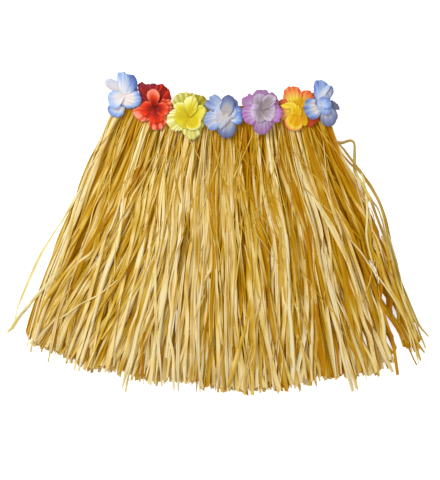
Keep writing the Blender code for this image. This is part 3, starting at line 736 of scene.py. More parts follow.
def make_petal_cloth(name, weave_group):
    """Dyed flower cloth: a scale of dyes from the petal's base to its rim, run along its pleats, with painted
    shade and glow.
    """
    blush, dyes = PETAL_CLOTHS[name]
    # The emission is a painted glow in the petal's own colour, standing in for light through the cloth.
    material, tree, shader = new_material(
        name, Roughness=0.6, Specular_IOR_Level=0.15, Sheen_Weight=0.03, Emission_Strength=PETAL_GLOW)
    place = map_place(tree, "cloth")
    streaked = weigh(tree, stretched_noise(tree, place, 700.0, 60.0, 2.0), 0.3, attribute(tree, "dye"))
    dyed = colour_scale(tree, maths(tree, "SUBTRACT", streaked, 0.15), dyes)
    # The blush is partly a second dye and partly painted shade.
    with_blush_and_shade = mix_colours(tree, "MIX", attribute(tree, "blush"), dyed, srgb(blush))
    # The painted light and shade that the petal keeps at its points multiplies its colour.
    light = attribute(tree, "light")
    grey = add_node(tree, "CombineColor", Red=light, Green=light, Blue=light).outputs["Color"]
    colour = mix_colours(tree, "MULTIPLY", 1.0, with_blush_and_shade, grey)
    set_inputs(shader, Base_Color=colour, Emission_Color=colour,
               Normal=bumps(tree, woven(tree, weave_group, PETAL_THREADS, place), 0.25, 0.0001))
    return material


# --- Raffia ribbons ------------------------------------------------------------------------------------

Template = namedtuple("Template", "section across side faces loop_vertex loop_around loop_cap")

# A ribbon before it is laid: where it runs, how wide it is, how deep its folds are and how far it is rolled
# at many places, and then the pattern of its folds, its brightness, its hue from 0, golden, to 1, pale, or
# below 0 if it is faded, how its tip is cut, and its wrap over the waistband, as the angle there and its
# share of the way out. A loose ribbon has no wrap.
Ribbon = namedtuple("Ribbon", "x y width fold roll folds tone hue slant wrap")

# A ribbon once it is laid: its points and their brightness, its hue, how far along it each of its sections
# is, and how far across it each of its points is.
Laid = namedtuple("Laid", "points tone hue length across")


def model_ribbon_template():
    """One straight ribbon, modelled once: a flat six-sided tube, cut across into short lengths."""
    clear_selection()
    bpy.ops.mesh.primitive_cylinder_add(
        vertices=RIBBON_SIDES, radius=1.0, depth=1.0, end_fill_type="NGON", location=(0.0, 0.0, 0.5),
        rotation=(0.0, 0.0, math.pi / RIBBON_SIDES))
    open_model()
    for step in range(1, RIBBON_STEPS):
        bpy.ops.mesh.select_all(action="SELECT")
        bpy.ops.mesh.bisect(plane_co=(0.0, 0.0, step / RIBBON_STEPS), plane_no=(0.0, 0.0, 1.0))
    points, faces = take_model()
    section = np.round(points[:, 2] * RIBBON_STEPS).astype(int)
    turn = np.arctan2(points[:, 1], points[:, 0])
    around = np.round(turn / (2 * np.pi) * RIBBON_SIDES).astype(int) % RIBBON_SIDES
    loops = []
    for face in faces:
        cap = len(face) > 4
        crosses = not cap and {0, RIBBON_SIDES - 1} <= {around[v] for v in face}
        loops += [(v, RIBBON_SIDES if crosses and around[v] == 0 else around[v], cap) for v in face]
    loop_vertex, loop_around, loop_cap = np.array(loops).T
    return Template(section, points[:, 0], points[:, 1], faces, loop_vertex, loop_around, loop_cap)


class Pile:
    """How high the raffia laid so far reaches, on a grid of cells over the surface, and what was laid."""

    CELL = 1.25
    CORNER = (-340.0, -270.0)
    SIZE = (680.0, 530.0)

    def __init__(self):
        self.height = np.zeros((int(self.SIZE[0] / self.CELL), int(self.SIZE[1] / self.CELL)))
        self.laid = []

    def cells(self, *place):
        """The cells that some places are in."""
        return tuple(np.clip(((at - corner) / self.CELL).astype(int), 0, count - 1)
                     for at, corner, count in zip(place, self.CORNER, self.height.shape))

    def lay(self, node, ribbon):
        """Rests a node's ribbon on the pile, and keeps it with the height of its middle line."""
        normal_x, normal_y = sideways(ribbon.x, ribbon.y)
        tilt = np.abs(np.sin(np.radians(ribbon.roll)))
        half = ribbon.width / 2 * np.maximum(np.abs(np.cos(np.radians(ribbon.roll))), 0.3)
        beside = [(ribbon.x + normal_x * half * offset, ribbon.y + normal_y * half * offset)
                  for offset in (-1.0, -0.5, 0.0, 0.5, 1.0)]
        support = np.max([self.height[self.cells(*places)] for places in beside], axis=0)
        samples = REST_REACH / np.hypot(np.diff(ribbon.x), np.diff(ribbon.y)).mean()
        rest = np.maximum(soften(spread(support, round(2 * samples)), round(3 * samples)), support)
        height = rest + REST_GAP + EDGE_RISE * ribbon.width * tilt
        top = height + 0.25 + 0.5 * ribbon.fold + EDGE_RISE * ribbon.width * tilt
        index = np.arange(len(ribbon.x))
        fine = np.linspace(0, len(ribbon.x) - 1, 3 * len(ribbon.x))
        for places in beside:
            cells = self.cells(*(np.interp(fine, index, values) for values in places))
            np.maximum.at(self.height, cells, np.interp(fine, index, top))
        self.laid.append((node, ribbon, height))

    def settled(self):
        """The loose pile's mean height at each place, how much of it is left once it has settled, and how
        far inside the pile the place is, from 0 to 1."""
        cover = blur((self.height > 0).astype(float), PILE_BLUR)
        mean = np.maximum(blur(self.height, PILE_BLUR) / np.maximum(cover, 1e-6), 1e-3)
        x, y = ((index + 0.5) * self.CELL + corner
                for index, corner in zip(np.indices(self.height.shape), self.CORNER))
        squash = np.minimum(look_up(PILE, fan_place(x, y)[0]) / mean, 1.0)
        return mean, squash, smooth((cover - 0.45) / 0.45)


def blur(grid, reach):
    """The mean of a grid over squares of cells, twice over for a soft result."""
    for axis in (0, 1, 0, 1):
        grid = np.apply_along_axis(soften, axis, grid, reach)
    return grid


def spread(values, reach):
    """The highest of each value's neighbours within a reach."""
    result = values.copy()
    for shift in range(1, reach + 1):
        result[shift:] = np.maximum(result[shift:], values[:-shift])
        result[:-shift] = np.maximum(result[:-shift], values[shift:])
    return result


def soften(values, reach):
    """A running mean."""
    padded = np.pad(values, reach, mode="edge")
    kernel = np.ones(2 * reach + 1) / (2 * reach + 1)
    return np.convolve(padded, kernel, mode="valid")


def sideways(x, y):
    """The direction across a route at each of its places."""
    dx, dy = np.gradient(x), np.gradient(y)
    return np.stack((-dy, dx)) / np.hypot(dx, dy)


def wave(along, size, shortest, longest):
    """A sine of a random length, in waves for each ribbon, and of a random size."""
    return rng.normal(0, size) * np.sin(2 * np.pi * (along * rng.uniform(shortest, longest) + rng.random()))


def kinks(along, size):
    """A sideways path with a few soft kinks, like a dry ribbon that was creased in its pack."""
    count = rng.integers(1, 4)
    places = np.sort(rng.uniform(0.07, 1.0, count))
    return soften(np.interp(along, (0.0, *places), (0.0, *rng.normal(0, size, count))), 4)


def wander(along):
    """How far a ribbon strays sideways from its straight line, in millimetres."""
    long_wave = wave(along, *LONG_WAVE)
    mid_wave = wave(along, *MID_WAVE) * (1 - 0.2 * along)
    short_wave = wave(along, *SHORT_WAVE) * (1 - 0.5 * along)
    slow = (long_wave + kinks(along, KINK_SIZE)) * smooth(along * 3.2)
    return slow + (mid_wave + short_wave) * smooth(along * 6)


def ribbon_shape(along, full):
    """A ribbon's width, the depth of its folds and its roll along its length."""
    width = full * (1.0 + 0.16 * wave(along, 1.0, 1.0, 3.5))
    pinch = rng.uniform(0.0, 0.35)
    width *= 1 - pinch * smooth(np.sin(2 * np.pi * (along * rng.uniform(1.5, 4.0) + rng.random())))
    width *= HEAD_WIDTH + (1 - HEAD_WIDTH) * smooth(along / FULL_WIDTH_AT)
    width *= 1 - rng.uniform(0.0, 0.6) * smooth((along - rng.uniform(0.9, 0.97)) / 0.05)
    width = np.clip(width, NARROWEST, WIDEST)
    fold = width * rng.uniform(0.12, 0.32)
    roll = rng.normal(0, 12.0) + wave(along, 13.0, 0.6, 2.2) + wave(along, 9.0, 2.5, 5.0)
    if rng.random() < TURNED_OVER:
        roll = roll + 180.0 * smooth((along - rng.uniform(0.15, 0.85)) / rng.uniform(0.07, 0.2))
    return width, fold, roll * smooth(along * 8)


def ribbon_end(start, crosses):
    """The share of the way across the fan at which a ribbon ends."""
    aside = look_up(DRIFT, start) if crosses else 0.0
    return start + (aside + rng.normal(0, CROSSING_SPREAD if crosses else STRAIGHT_SPREAD)) / TUFTS_PER_LAYER


def keep_inside(share, inset):
    """Keeps a path within the sides of the fan: what would stray over a side runs down beside it."""
    soft = SIDE_SOFTNESS
    low, high = inset + rng.uniform(0.0, SIDE_SPREAD, 2)
    share = low + soft * np.logaddexp(0, (share - low) / soft)
    return 1 - high - soft * np.logaddexp(0, (1 - high - share) / soft)


def parted(radius, angle):
    """Moves a path aside where the fringe parts."""
    for middle, out, reach, aside, lean in PARTINGS:
        away = np.radians(angle - middle) * radius - (radius - out) * math.tan(math.radians(lean))
        side = aside if np.interp(out, radius, away) > 0 else -aside
        near = np.exp(-((radius - out) / (1.5 * reach)) ** 2 - (away / (2.5 * aside)) ** 2)
        angle = angle + np.degrees(side * near / radius)
    return angle


def ribbon_tone(start):
    """How much paler or darker a ribbon is than the top of the pile, by the share at which it starts."""
    bunch = np.interp(start * BUNCHES, np.arange(BUNCHES), BUNCH_TONES)
    change = rng.normal(0.0, TONE_SPREAD)
    dark, pale = look_up(CONTRASTS, start, 1), look_up(CONTRASTS, start, 2)
    change += (dark - 1) * min(change + 0.1, 0.0) + (pale - 1) * max(change, 0.0)
    return bunch + look_up(SHADES, start), change


def hem_tip(angle):
    """The radius at which a ribbon ends near the hem."""
    return look_up(HEM, angle) + rng.normal(TIP_SHIFT, TIP_SPREAD)


def run_to(tip):
    """The radius at many places on a ribbon, and how far along the ribbon they are, from 0 to 1."""
    radius = np.linspace(RUN_START, tip, DENSE_SAMPLES)
    return radius, (radius - RUN_START) / (tip - RUN_START)


def draw_ribbon(layer, tuft, crosses, long_tip=None):
    """A new ribbon of a tuft: where it runs, how wide, folded and twisted it is, and its colour."""
    start = (tuft + rng.random()) / TUFTS_PER_LAYER
    end = ribbon_end(start, crosses)
    if long_tip is not None:
        goal = angle_share(long_tip[1], long_tip[0])
        end = start + (goal - start) * (HEM_MEAN - RUN_START) / (long_tip[1] - RUN_START)
    elif not crosses:
        end = np.clip(end, 0.006, 0.994)
    tip = hem_tip(share_angle(HEM_SHARES_AT, np.clip(end, 0.0, 1.0)))
    if rng.random() < CUT_SHORT:
        tip -= rng.uniform(*CUT_SHORT_BY)
    elif rng.random() < CUT_LONG:
        tip += rng.uniform(*CUT_LONG_BY)
    if long_tip is not None:
        tip = long_tip[1]
    radius, along = run_to(tip)
    bend = along ** (CROSSING_BEND if crosses else 1.0)
    share = start + (end - start) * bend * (tip - RUN_START) / (HEM_MEAN - RUN_START)
    stray = wander(along)
    if long_tip is not None:
        stray -= stray[-1] * along ** 2
    else:
        left, right = side_angles(radius)
        share = keep_inside(share + np.degrees(stray / radius) / (right - left), INSETS[layer])
        stray = 0.0
    angle = parted(radius, share_angle(radius, share) + np.degrees(stray / radius))
    full = rng.uniform(*WIDTHS[layer])
    if rng.random() < THIN_RIBBONS:
        full = rng.uniform(*THIN_WIDTHS)
    width, fold, roll = ribbon_shape(along, full * look_up(SIDE_WIDTHS, start))
    folds = pick_folds()
    tone, change = ribbon_tone(start)
    tone += LONG_TIP_TONE if long_tip is not None else 0.0
    return Ribbon(*polar(radius, angle), width, fold, roll, folds, tone + change,
                  rng.normal(0.5, 0.2), rng.normal(0, 0.6), (angle[0], rng.random()))


def draw_leader(angles):
    """A pale ribbon on top of the others, with its angle at each of the leaders' radii."""
    radius, along = run_to(hem_tip(angles[-1]))
    angle = soften(np.interp(radius, LEADER_RADII, angles), 8)
    angle += np.degrees(wave(along, 0.6, 2.0, 4.0) / radius)
    angle = np.clip(angle, *side_angles(radius))
    width, fold, roll = ribbon_shape(along, rng.uniform(*LEADER_WIDTHS))
    x, y = polar(radius, parted(radius, angle))
    return Ribbon(x, y, width, fold, roll * 0.7, pick_folds(), rng.normal(LEADER_TONE, 0.1),
                  rng.normal(0.5, 0.25), rng.normal(0, 0.6), (angle[0], rng.random()))


def draw_fibre(share, radius):
    """A thin fibre that has split from a ribbon and lies across the others."""
    length = rng.uniform(*FIBRE_LENGTHS)
    lean = rng.normal(0.0, FIBRE_LEAN)
    places = np.linspace(radius, min(radius + length, HEM_MEAN), 6)
    sway = np.cumsum(rng.normal(0, 0.05, 6)) + lean
    angles = share_angle(places, share) + np.degrees(np.cumsum(sway * (places[1] - places[0]) / places))
    angles = np.clip(angles, *side_angles(650.0))
    route = np.stack(polar(places, angles), axis=1)
    return draw_loose_ribbon(route, rng.uniform(*FIBRE_WIDTHS), rng.uniform(-0.2, 0.15), 14.0)


def draw_loose_ribbon(route, width, tone, roll_size, faded=0.0):
    """A single ribbon that follows a route of (X, Y) places."""
    length = running_length(route)
    fine = np.linspace(0, length[-1], DENSE_SAMPLES)
    reach = max(2, int(DENSE_SAMPLES * 5.0 / length[-1]))
    x, y = (soften(np.interp(fine, length, route[:, axis]), reach) for axis in (0, 1))
    for end in (0, -1):
        x[end], y[end] = route[end]
    along = fine / length[-1]
    widths = width * (1 + 0.12 * wave(along, 1.0, 1.0, 3.0))
    widths *= 0.5 + 0.5 * smooth(along / 0.08)
    widths = np.clip(widths * (1 - 0.3 * smooth((along - 0.92) / 0.08)), 0.6, WIDEST)
    roll = wave(along, roll_size, 0.8, 2.5) + wave(along, roll_size / 2, 2.5, 5.0)
    return Ribbon(x, y, widths, widths * 0.22, roll * smooth(along * 6), pick_folds(), tone,
                  rng.normal(0.1, 0.06) - faded, rng.normal(0, 0.4), None)


def pick_folds():
    """A pattern of folds: where its two inner points lie across the ribbon, and all four heights."""
    return rng.uniform(-0.65, -0.15), rng.uniform(0.15, 0.65), FOLDS[rng.integers(len(FOLDS))]


def lay_layer(pile, layer):
    """Lays one layer's tufts, and the leaders before the last of the front ones."""
    order = [tuft for tuft in range(TUFTS_PER_LAYER) for _ in range(RIBBONS_PER_TUFT[layer])]
    rng.shuffle(order)
    front = layer == "front"
    for number, tuft in enumerate(order):
        if front and number == int(len(order) * LEADERS_AFTER):
            for angles in LEADERS:
                owner = tuft_at(angle_share(RUN_START, angles[0]))
                pile.lay(tuft_node("front", owner), draw_leader(angles))
        crosses = front and number >= len(order) * (1 - CROSSING_SHARE)
        pile.lay(tuft_node(layer, tuft), draw_ribbon(layer, tuft, crosses))


def lay_skirt():
    """Draws and lays every ribbon, from the bottom of the pile up."""
    pile = Pile()
    for layer in RIBBONS_PER_TUFT:
        lay_layer(pile, layer)
    for angle, radius in LONG_TIPS:
        tuft = tuft_at(angle_share(radius, angle) + rng.normal(0, 0.5) / TUFTS_PER_LAYER)
        pile.lay(tuft_node("front", tuft), draw_ribbon("front", tuft, True, (angle, radius)))
    for count, nearest, farthest in FIBRES:
        for _ in range(count):
            share, radius = rng.uniform(0.02, 0.98), rng.uniform(nearest, farthest)
            pile.lay(tuft_node("front", tuft_at(share)), draw_fibre(share, radius))
    for name, text in LOOSE_RIBBONS.items():
        for row in rows(text):
            (width, tone, faded), route = row[:3], row[3:].reshape(-1, 2)
            node = name if name.startswith("stray") else tuft_node("front", tuft_at(fan_place(*route[0])[1]))
            pile.lay(node, draw_loose_ribbon(route, width, tone, 10.0, faded))
    return pile


def painted_gap_shade(ribbon):
    """How strong the painted shade of the pile's gaps is along a ribbon, and how much paler or darker the
    ribbon is there, darker partly as painted shade under the flowers near the band.
    """
    radius, share = fan_place(ribbon.x, ribbon.y)
    at_head = 1 - smooth((radius - RUN_START) / HEAD_SHADES_REACH)
    paler = (look_up(DEPTHS, radius, 2) + look_up(HEAD_SHADES, share) * at_head) / GAP_PAINTED_SHADE
    return look_up(SHADES, share, 2) * look_up(DEPTHS, radius), paler


def wrap_heights(ribbon, layer):
    """The heights of a ribbon's inner and outer legs at the band."""
    return [height + more * ribbon.wrap[1] for height, more in LEG_HEIGHTS[layer]]


def wrap_sections(ribbon, layer):
    """The middle points of a ribbon's short loop over the waist edge of the band."""
    angle, share = ribbon.wrap
    inner, outer = wrap_heights(ribbon, layer)
    edge = BAND_RADIUS - 0.6 - 1.9 * share
    radius = np.array((*LEG_RADII[:2], edge + 0.6, edge, edge + 0.6, LEG_RADII[2]))
    height = np.array((inner, inner, inner * 0.8 + outer * 0.2, (inner + outer) / 2,
                       outer * 0.8 + inner * 0.2, outer))
    return np.stack((*polar(radius, np.full(WRAP_SECTIONS, angle)), height), axis=1)


def above_surface(height):
    """Keeps heights above the surface, bending softly as they come near it."""
    soft = SURFACE_SOFTNESS
    return np.where(height > soft, height, soft * np.exp(np.minimum(height - soft, 0.0) / soft))


def bend_ribbon(template, ribbon, height, depth, layer):
    """Bends the template along a ribbon that was laid, with its loop over the band if it has one."""
    if ribbon.wrap:
        outer = wrap_heights(ribbon, layer)[1]
        at_head = 1 - smooth((fan_place(ribbon.x, ribbon.y)[0] - RUN_START) / HEAD_BLEND)
        height = height * (1 - at_head) + outer * at_head
    run = RUN_SECTIONS if ribbon.wrap else RIBBON_STEPS + 1
    pick, dense = np.linspace(0, 1, run), np.linspace(0, 1, len(ribbon.x))

    def at(values):
        return np.interp(pick, dense, values)

    centre = np.stack((at(ribbon.x), at(ribbon.y), at(height)), axis=1)
    across = np.stack((*map(at, sideways(ribbon.x, ribbon.y)), np.zeros(run)), axis=1)
    half, roll, fold = at(ribbon.width) / 2, np.radians(at(ribbon.roll)), at(ribbon.fold)
    if ribbon.wrap:
        centre = np.concatenate((wrap_sections(ribbon, layer), centre))
        across = np.concatenate((np.repeat(across[:1], WRAP_SECTIONS, axis=0), across))
        half, roll, fold = (np.concatenate((np.full(WRAP_SECTIONS, first), values))
                            for first, values in ((half[0], half), (0.0, roll), (0.2, fold)))
    tangent = unit(np.gradient(centre, axis=0))
    up = unit(np.cross(tangent, across))
    up *= 1.0 if up[-2, 2] > 0 else -1.0
    turned, raised = np.cos(roll)[:, None], np.sin(roll)[:, None]
    wide, thick = across * turned + up * raised, up * turned - across * raised
    left, right, heights = ribbon.folds
    column = np.round((template.across + 1) * 1.5).astype(int)
    place = np.array((-1.0, left, right, 1.0))[column]
    section = template.section
    rise = (heights[column] - heights.mean()) * fold[section] + template.side * RIBBON_THICKNESS / 2
    points = (centre[section] + wide[section] * (place * half[section])[:, None]
              + thick[section] * rise[:, None])
    at_tip = section == RIBBON_STEPS
    points[at_tip] += tangent[-1] * (place[at_tip] * half[-1] * ribbon.slant)[:, None]
    points[:, 2] = above_surface(points[:, 2])
    depth = np.concatenate((np.full(RIBBON_STEPS + 1 - run, depth[0]), at(depth)))[section]
    # The tone falls by the painted shade of the pile's gaps and by the painted shade along the rims.
    tone = TOP_TONE + ribbon.tone - GAP_PAINTED_SHADE * depth - RIM_PAINTED_SHADE * (np.abs(place) == 1.0)
    return Laid(points, tone, np.full(len(tone), ribbon.hue), running_length(centre), place * half.max())


def build_ribbons(name, template, ribbons, material):
    """One piece of many ribbons, with a map along each for its fibres and a sheet of maps for baking."""
    count = len(ribbons)
    vertex, cap = template.loop_vertex, template.loop_cap == 1
    section, across = template.section[vertex], template.across[vertex]
    fibre, bake = [], []
    for number, ribbon in enumerate(ribbons):
        start_u, start_v = rng.uniform(0, 900.0, 2)
        fibre.append(np.stack((ribbon.length[section] + start_u, ribbon.across[vertex] + start_v), axis=1))
        u = (number + 0.06 + 0.88 * template.loop_around / RIBBON_SIDES) / count
        v = 0.01 + 0.98 * section / RIBBON_STEPS
        cap_u = (number + 0.5 + 0.4 * across) / count
        cap_v = np.where(section == 0, 0.003, 0.997) + 0.002 * template.side[vertex]
        bake.append(np.stack((np.where(cap, cap_u, u), np.where(cap, cap_v, v)), axis=1))
    joined = Laid(*(np.concatenate(parts) for parts in zip(*ribbons)))
    return add_piece(
        name, joined.points, repeat_faces(template.faces, len(template.section), count), material,
        {"tone": joined.tone, "hue": joined.hue},
        {"ribbon": np.concatenate(fibre) * MM, "OFBake": np.concatenate(bake)}, rounded=False)


def make_fringe(material):
    """The two layers of the fringe, a piece for each tuft, and the ribbons that have sprung out of them."""
    template = model_ribbon_template()
    pile = lay_skirt()
    mean, squash, inside = pile.settled()
    tufts = {}
    for node, ribbon, height in pile.laid:
        cells = pile.cells(ribbon.x, ribbon.y)
        # Painted shade: a ribbon that lies lower than the pile around it is painted darker, as if in the
        # shade of the gaps, less so near the pile's edges and towards its tip; loose ribbons get none.
        depth = (1 - np.clip(height / mean[cells], 0, 1.1)) * inside[cells]
        depth *= 1 - 0.8 * smooth(np.linspace(-5, 1, len(depth))) if ribbon.wrap else 0.0
        gap_shade_scale, paler = painted_gap_shade(ribbon)
        bent = bend_ribbon(template, ribbon, soften(height * squash[cells], 2), depth * gap_shade_scale - paler,
                           "front" if "front" in node else "back")
        tufts.setdefault(node, []).append(bent)
    pieces = []
    for node in sorted(tufts):
        pieces.append(build_ribbons("raffia_" + node.removeprefix("tuft_"), template, tufts[node], material))
        declare(pieces[-1], node)
    return pieces


# --- Waistband -----------------------------------------------------------------------------------------


def band_route():
    """The band's middle line: its angle and height, and which way is out of the loop there."""
    fold_radius = (FRONT_RUN_HEIGHT - BACK_RUN_HEIGHT) / 2
    middle = (FRONT_RUN_HEIGHT + BACK_RUN_HEIGHT) / 2
    route = []
    for side in (1, -1):
        for angle in np.linspace(-BAND_HALF_ANGLE, BAND_HALF_ANGLE, BAND_RUN_STEPS, endpoint=False):
            route.append((side * angle, middle + side * fold_radius, 0.0, side))
        for turn in np.linspace(np.pi / 2, -np.pi / 2, BAND_FOLD_STEPS, endpoint=False):
            out, up = side * np.cos(turn), side * np.sin(turn)
            angle = side * BAND_HALF_ANGLE + math.degrees(out * fold_radius / BAND_RADIUS)
            route.append((angle, middle + up * fold_radius, out, up))
    return np.array(route)


def band_section():
    """The band's outline across its width: each point's distance out along the fan and off its middle."""
    ribs = np.linspace(0, 1, BAND_COLUMNS)
    wall = BAND_WALL / 2 - 2 * BAND_RIB_DEPTH + BAND_RIB_DEPTH * np.cos(2 * np.pi * BAND_RIBS * ribs)
    wall *= 1 - 0.5 * (np.abs(2 * ribs - 1) ** 30)
    across = np.concatenate((ribs, ribs[::-1])) * BAND_WIDTH
    return across, np.concatenate((wall, -wall[::-1]))


def make_waistband(material, fringe):
    """The woven elastic: one flat ribbon sewn into a loop and pressed flat, folded at each side."""
    route = band_route()
    across, off = band_section()
    count, size = len(route), len(across)
    angle, height, out, up = (route[:, None, column] for column in range(4))
    x, y = polar(BAND_RADIUS + across[None, :], angle + np.degrees(out * off / BAND_RADIUS))
    points = np.stack((x, y, height + up * off), axis=2)
    middle_line = np.stack((*polar(BAND_RADIUS + BAND_WIDTH / 2, route[:, 0]), route[:, 1]), axis=1)
    length = running_length(np.concatenate((middle_line, middle_line[:1])))
    faces, weave, bake = [], [], []
    for place in range(count):
        for side in range(size):
            corners = ((place, side), (place, side + 1), (place + 1, side + 1), (place + 1, side))
            faces.append([(p % count) * size + s % size for p, s in corners])
            weave += [(length[p], across[s % size] + (40.0 if off[side] < 0 else 0.0)) for p, s in corners]
            bake += [(0.01 + 0.98 * p / count, 0.01 + 0.98 * s / size) for p, s in corners]
    band = add_piece("elastic_waistband", points.reshape(-1, 3), faces, material, {},
                     {"band": np.array(weave) * MM, "OFBake": np.array(bake)})
    declare(band, "waistband")


# --- Flowers -------------------------------------------------------------------------------------------

PetalTemplate = namedtuple("PetalTemplate", "ray ring top faces loop_vertex loop_place")


def model_petal_template():
    """One petal's cut cloth, modelled once: a fine grid with two sides and an edge all round."""
    clear_selection()
    bpy.ops.mesh.primitive_grid_add(
        x_subdivisions=PETAL_RAYS, y_subdivisions=PETAL_RINGS, size=1.0, location=(0.5, 0.5, 0.0))
    open_model()
    bpy.ops.mesh.extrude_region_move(TRANSFORM_OT_translate={"value": (0.0, 0.0, 1.0)})
    bpy.ops.mesh.select_all(action="SELECT")
    bpy.ops.mesh.normals_make_consistent(inside=False)
    points, faces = take_model()
    ray = np.round(points[:, 0] * PETAL_RAYS).astype(int)
    ring = np.round(points[:, 1] * PETAL_RINGS).astype(int)
    top = points[:, 2] > 0.5
    loop_vertex, loop_place = [], []
    rim = 2 * (PETAL_RAYS + PETAL_RINGS)
    for corners in faces:
        turns = [rim_place(ray[v], ring[v]) for v in corners]
        wraps = max(turns) - min(turns) > rim / 2
        for vertex, turn in zip(corners, turns):
            loop_vertex.append(vertex)
            if len({top[v] for v in corners}) == 1:
                u = (0.01 if top[vertex] else 0.51) + 0.48 * ray[vertex] / PETAL_RAYS
                loop_place.append((u, 0.01 + 0.9 * ring[vertex] / PETAL_RINGS))
            else:
                u = 0.01 + 0.98 * (turn + rim * (wraps and turn == 0)) / rim
                loop_place.append((u, 0.99 if top[vertex] else 0.93))
    return PetalTemplate(ray, ring, top, faces, np.array(loop_vertex), np.array(loop_place))


def rim_place(ray, ring):
    """How far round the grid's rim a point of it is, in steps."""
    if ring == 0:
        return ray
    if ray == PETAL_RAYS:
        return PETAL_RAYS + ring
    if ring == PETAL_RINGS:
        return 2 * PETAL_RAYS + PETAL_RINGS - ray
    return 2 * (PETAL_RAYS + PETAL_RINGS) - ring


def petal_outline(points, ruffle):
    """A petal's outline, rounded between its points and ruffled: a place for each of its rays."""
    length = running_length(points)
    fine = np.linspace(0, length[-1], 12 * PETAL_RAYS + 1)
    reach = max(2, int(1.2 * len(fine) / length[-1]))
    straight = np.stack([np.interp(fine, length, column) for column in points.T])
    soft = np.stack([soften(soften(column, reach), reach) for column in straight])
    rounded = straight + (soft - straight) * smooth(np.minimum(fine, length[-1] - fine) / 4.0)
    rounded += sideways(*rounded) * (ruffle * np.sin(fine * rng.uniform(1.1, 1.6) + rng.uniform(0, 6.0)))
    return rounded.T[::12]


def uneven_pleats(count):
    """A wave across a petal, from -1 to 1: pleats of uneven width and depth, a value for each of its rays."""
    rays = np.linspace(0, 1, PETAL_RAYS + 1)
    knots = np.linspace(0, 1, 8)
    shift = np.interp(rays, knots, rng.normal(0, 0.35, 8))
    size = np.interp(rays, knots, rng.uniform(0.3, 1.15, 8))
    fine = 0.3 * np.cos(2 * np.pi * (2.3 * count * rays + 2 * shift))
    return size * np.cos(2 * np.pi * (count * rays + shift + rng.random())) + fine


def shape_petal(template, petal, ring, number, level):
    """A petal's points about its flower's middle, in millimetres, its colour values and its cloth map."""
    inner = ring == "inner"
    outline = petal_outline(petal.outline, RUFFLES[ring])
    across = np.linspace(-1, 1, PETAL_RAYS + 1)[template.ray]
    along = PETAL_START + (1 - PETAL_START) * template.ring / PETAL_RINGS
    base = np.array((petal.base_x, petal.base_y))
    pleats = uneven_pleats(petal.pleats)[template.ray]
    scallops = 1 + SCALLOP * petal.depth * pleats
    pleats *= smooth((along - 0.12) / 0.6)
    spot = base + (outline[template.ray] - base) * (scallops * along ** 0.95)[:, None]
    rise = 2 * along * (1 - along) * (2 * petal.middle - 0.5 * petal.tip) + along ** 2 * petal.tip
    rise += petal.cup * (np.abs(across) ** 3 * smooth((along - 0.3) / 0.5) + 0.6 * along ** 4)
    rise += petal.depth * pleats * (0.4 + 0.6 * along)
    foot = smooth(along / 0.25) if not inner else 1.0
    height = PETAL_SEAT + (level * LEVEL_STEP + FIRST_RISE) * foot + (INNER_RISE if inner else 0.0)
    height = height + number * PETAL_STEP * smooth(along / 0.2) + rise
    height += np.where(template.top, PETAL_THICKNESS, 0.0)
    change = smooth((along - petal.dye_start) / (1 - petal.dye_start))
    dye = petal.dye_base + (petal.dye_rim - petal.dye_base) * change
    dye = dye - petal.dye_side * across * along + PLEAT_DYE * petal.depth * pleats * change
    # Painted light and shade: the petal is brighter or darker from base to rim and side to side, partly for
    # its dye and partly for how the light falls, and along its pleats.
    light = petal.light_base + (petal.light_rim - petal.light_base) * along - petal.light_side * across
    light = light * (1 + PLEAT_LIGHT * pleats * min(1.0, 1.5 * petal.depth))
    # The blush: a second colour mixed in from where it starts, partly dye and partly painted shade.
    start = petal.blush_start
    blush = petal.blush * (smooth((along - start) / (1 - start)) if start else np.ones(len(along)))
    cloth = np.stack((CLOTH_WIDTH * across, CLOTH_LENGTH * along), axis=1)
    return np.column_stack((spot, height)), {"dye": dye, "light": light, "blush": blush}, cloth


def build_ring(name, template, middle, petals, ring, level, material):
    """One ring of petals, cut from one cloth and pressed to shape."""
    points, bake, cloth, values = [], [], [], {}
    for number, row in enumerate(petals):
        petal = Petal(*row[:16], row[16:].reshape(-1, 2))
        placed, colours, flat = shape_petal(template, petal, ring, number, level)
        points.append(placed + np.array((*middle, 0.0)))
        for key, value in colours.items():
            values.setdefault(key, []).append(value)
        u, v = template.loop_place.T
        bake.append(np.stack(((number + 0.02 + 0.96 * u) / len(petals), v), axis=1))
        cloth.append(flat[template.loop_vertex] * MM)
    return add_piece(
        name, np.concatenate(points), repeat_faces(template.faces, len(template.ray), len(petals)), material,
        {key: np.concatenate(parts) for key, parts in values.items()},
        {"cloth": np.concatenate(cloth), "OFBake": np.concatenate(bake)})


def make_flowers(weave_group):
    """The seven flowers, each of two petal rings."""
    cloths = {name: make_petal_cloth(name, weave_group) for name in PETAL_CLOTHS}
    template = model_petal_template()
    for name, cloth, x, y, level, text in FLOWERS:
        petals = rows(text)
        for ring, own in (("outer", petals[:PETALS_PER_RING]), ("inner", petals[PETALS_PER_RING:])):
            node = f"{name}_{ring}"
            piece = build_ring(node.replace("flower", "petals"), template, (x, y), own, ring, level,
                               cloths[cloth])
            declare(piece, node)


# --- Camera, light and surface -------------------------------------------------------------------------

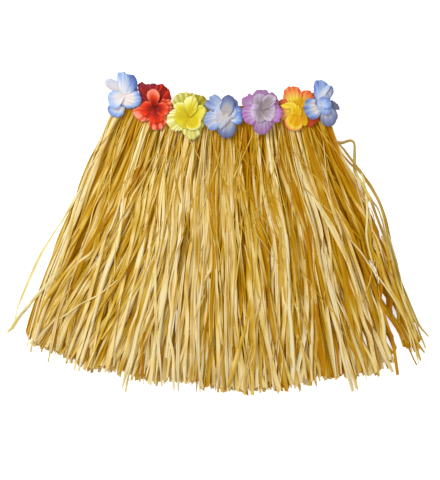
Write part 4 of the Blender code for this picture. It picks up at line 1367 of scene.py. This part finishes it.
# The view is straight down. Its middle is under this place, and a pixel covers this many millimetres.
VIEW_X = 5.55
VIEW_Y = -8.0
MM_PER_PIXEL = 1.45
VIEW_ROWS = 480
LENS = 85.0
SENSOR = 36.0
MEAN_HEIGHT = 11.0
SURFACE_HEIGHT = -0.4
WHITE = (1.0, 1.0, 1.0, 1.0)


def make_camera():
    """A camera straight above the skirt."""
    camera = bpy.data.cameras.new("camera")
    camera.lens = LENS
    camera.sensor_width = SENSOR
    camera.clip_end = 20.0
    distance = VIEW_ROWS * MM_PER_PIXEL * LENS / SENSOR
    bpy.context.scene.camera = add_object("camera", camera)
    bpy.context.scene.camera.location = (VIEW_X * MM, VIEW_Y * MM, (distance + MEAN_HEIGHT) * MM)


def make_light(name, place, target, size, power, colour):
    """A square soft light that faces a target."""
    light = bpy.data.lights.new(name, "AREA")
    light.size = size
    light.energy = power
    light.color = colour
    lamp = add_object(name, light)
    lamp.location = place
    lamp.rotation_euler = (Vector(target) - Vector(place)).to_track_quat("-Z", "Y").to_euler()


def make_surface():
    """The plain pale surface that the skirt lies on."""
    clear_selection()
    bpy.ops.mesh.primitive_plane_add(size=8.0, location=(0.0, 0.0, SURFACE_HEIGHT * MM))
    floor = bpy.context.object
    floor.name = "surface"
    material, _, _ = new_material(
        "pale_surface", Base_Color=(0.93, 0.93, 0.93, 1.0), Roughness=0.9, Specular_IOR_Level=0.1,
        Emission_Color=WHITE, Emission_Strength=0.5)
    floor.data.materials.append(material)


def make_world():
    """Soft light from all round."""
    world = bpy.data.worlds.new("studio")
    world.use_nodes = True
    set_inputs(world.node_tree.nodes["Background"], Color=WHITE, Strength=0.86)
    bpy.context.scene.world = world


def main():
    bpy.context.scene.view_settings.view_transform = "Standard"
    make_camera()
    make_world()
    make_surface()
    make_light("key", (-0.95, 0.75, 1.0), (-0.1, 0.0, 0.0), 0.8, 22.0, (1.0, 0.97, 0.9))
    make_light("fill", (0.9, -0.6, 1.6), (0.0, 0.0, 0.0), 1.4, 3.0, (0.96, 0.98, 1.0))
    weave_group = make_weave_group()
    make_waistband(make_elastic(weave_group), make_fringe(make_raffia()))
    make_flowers(weave_group)


main()
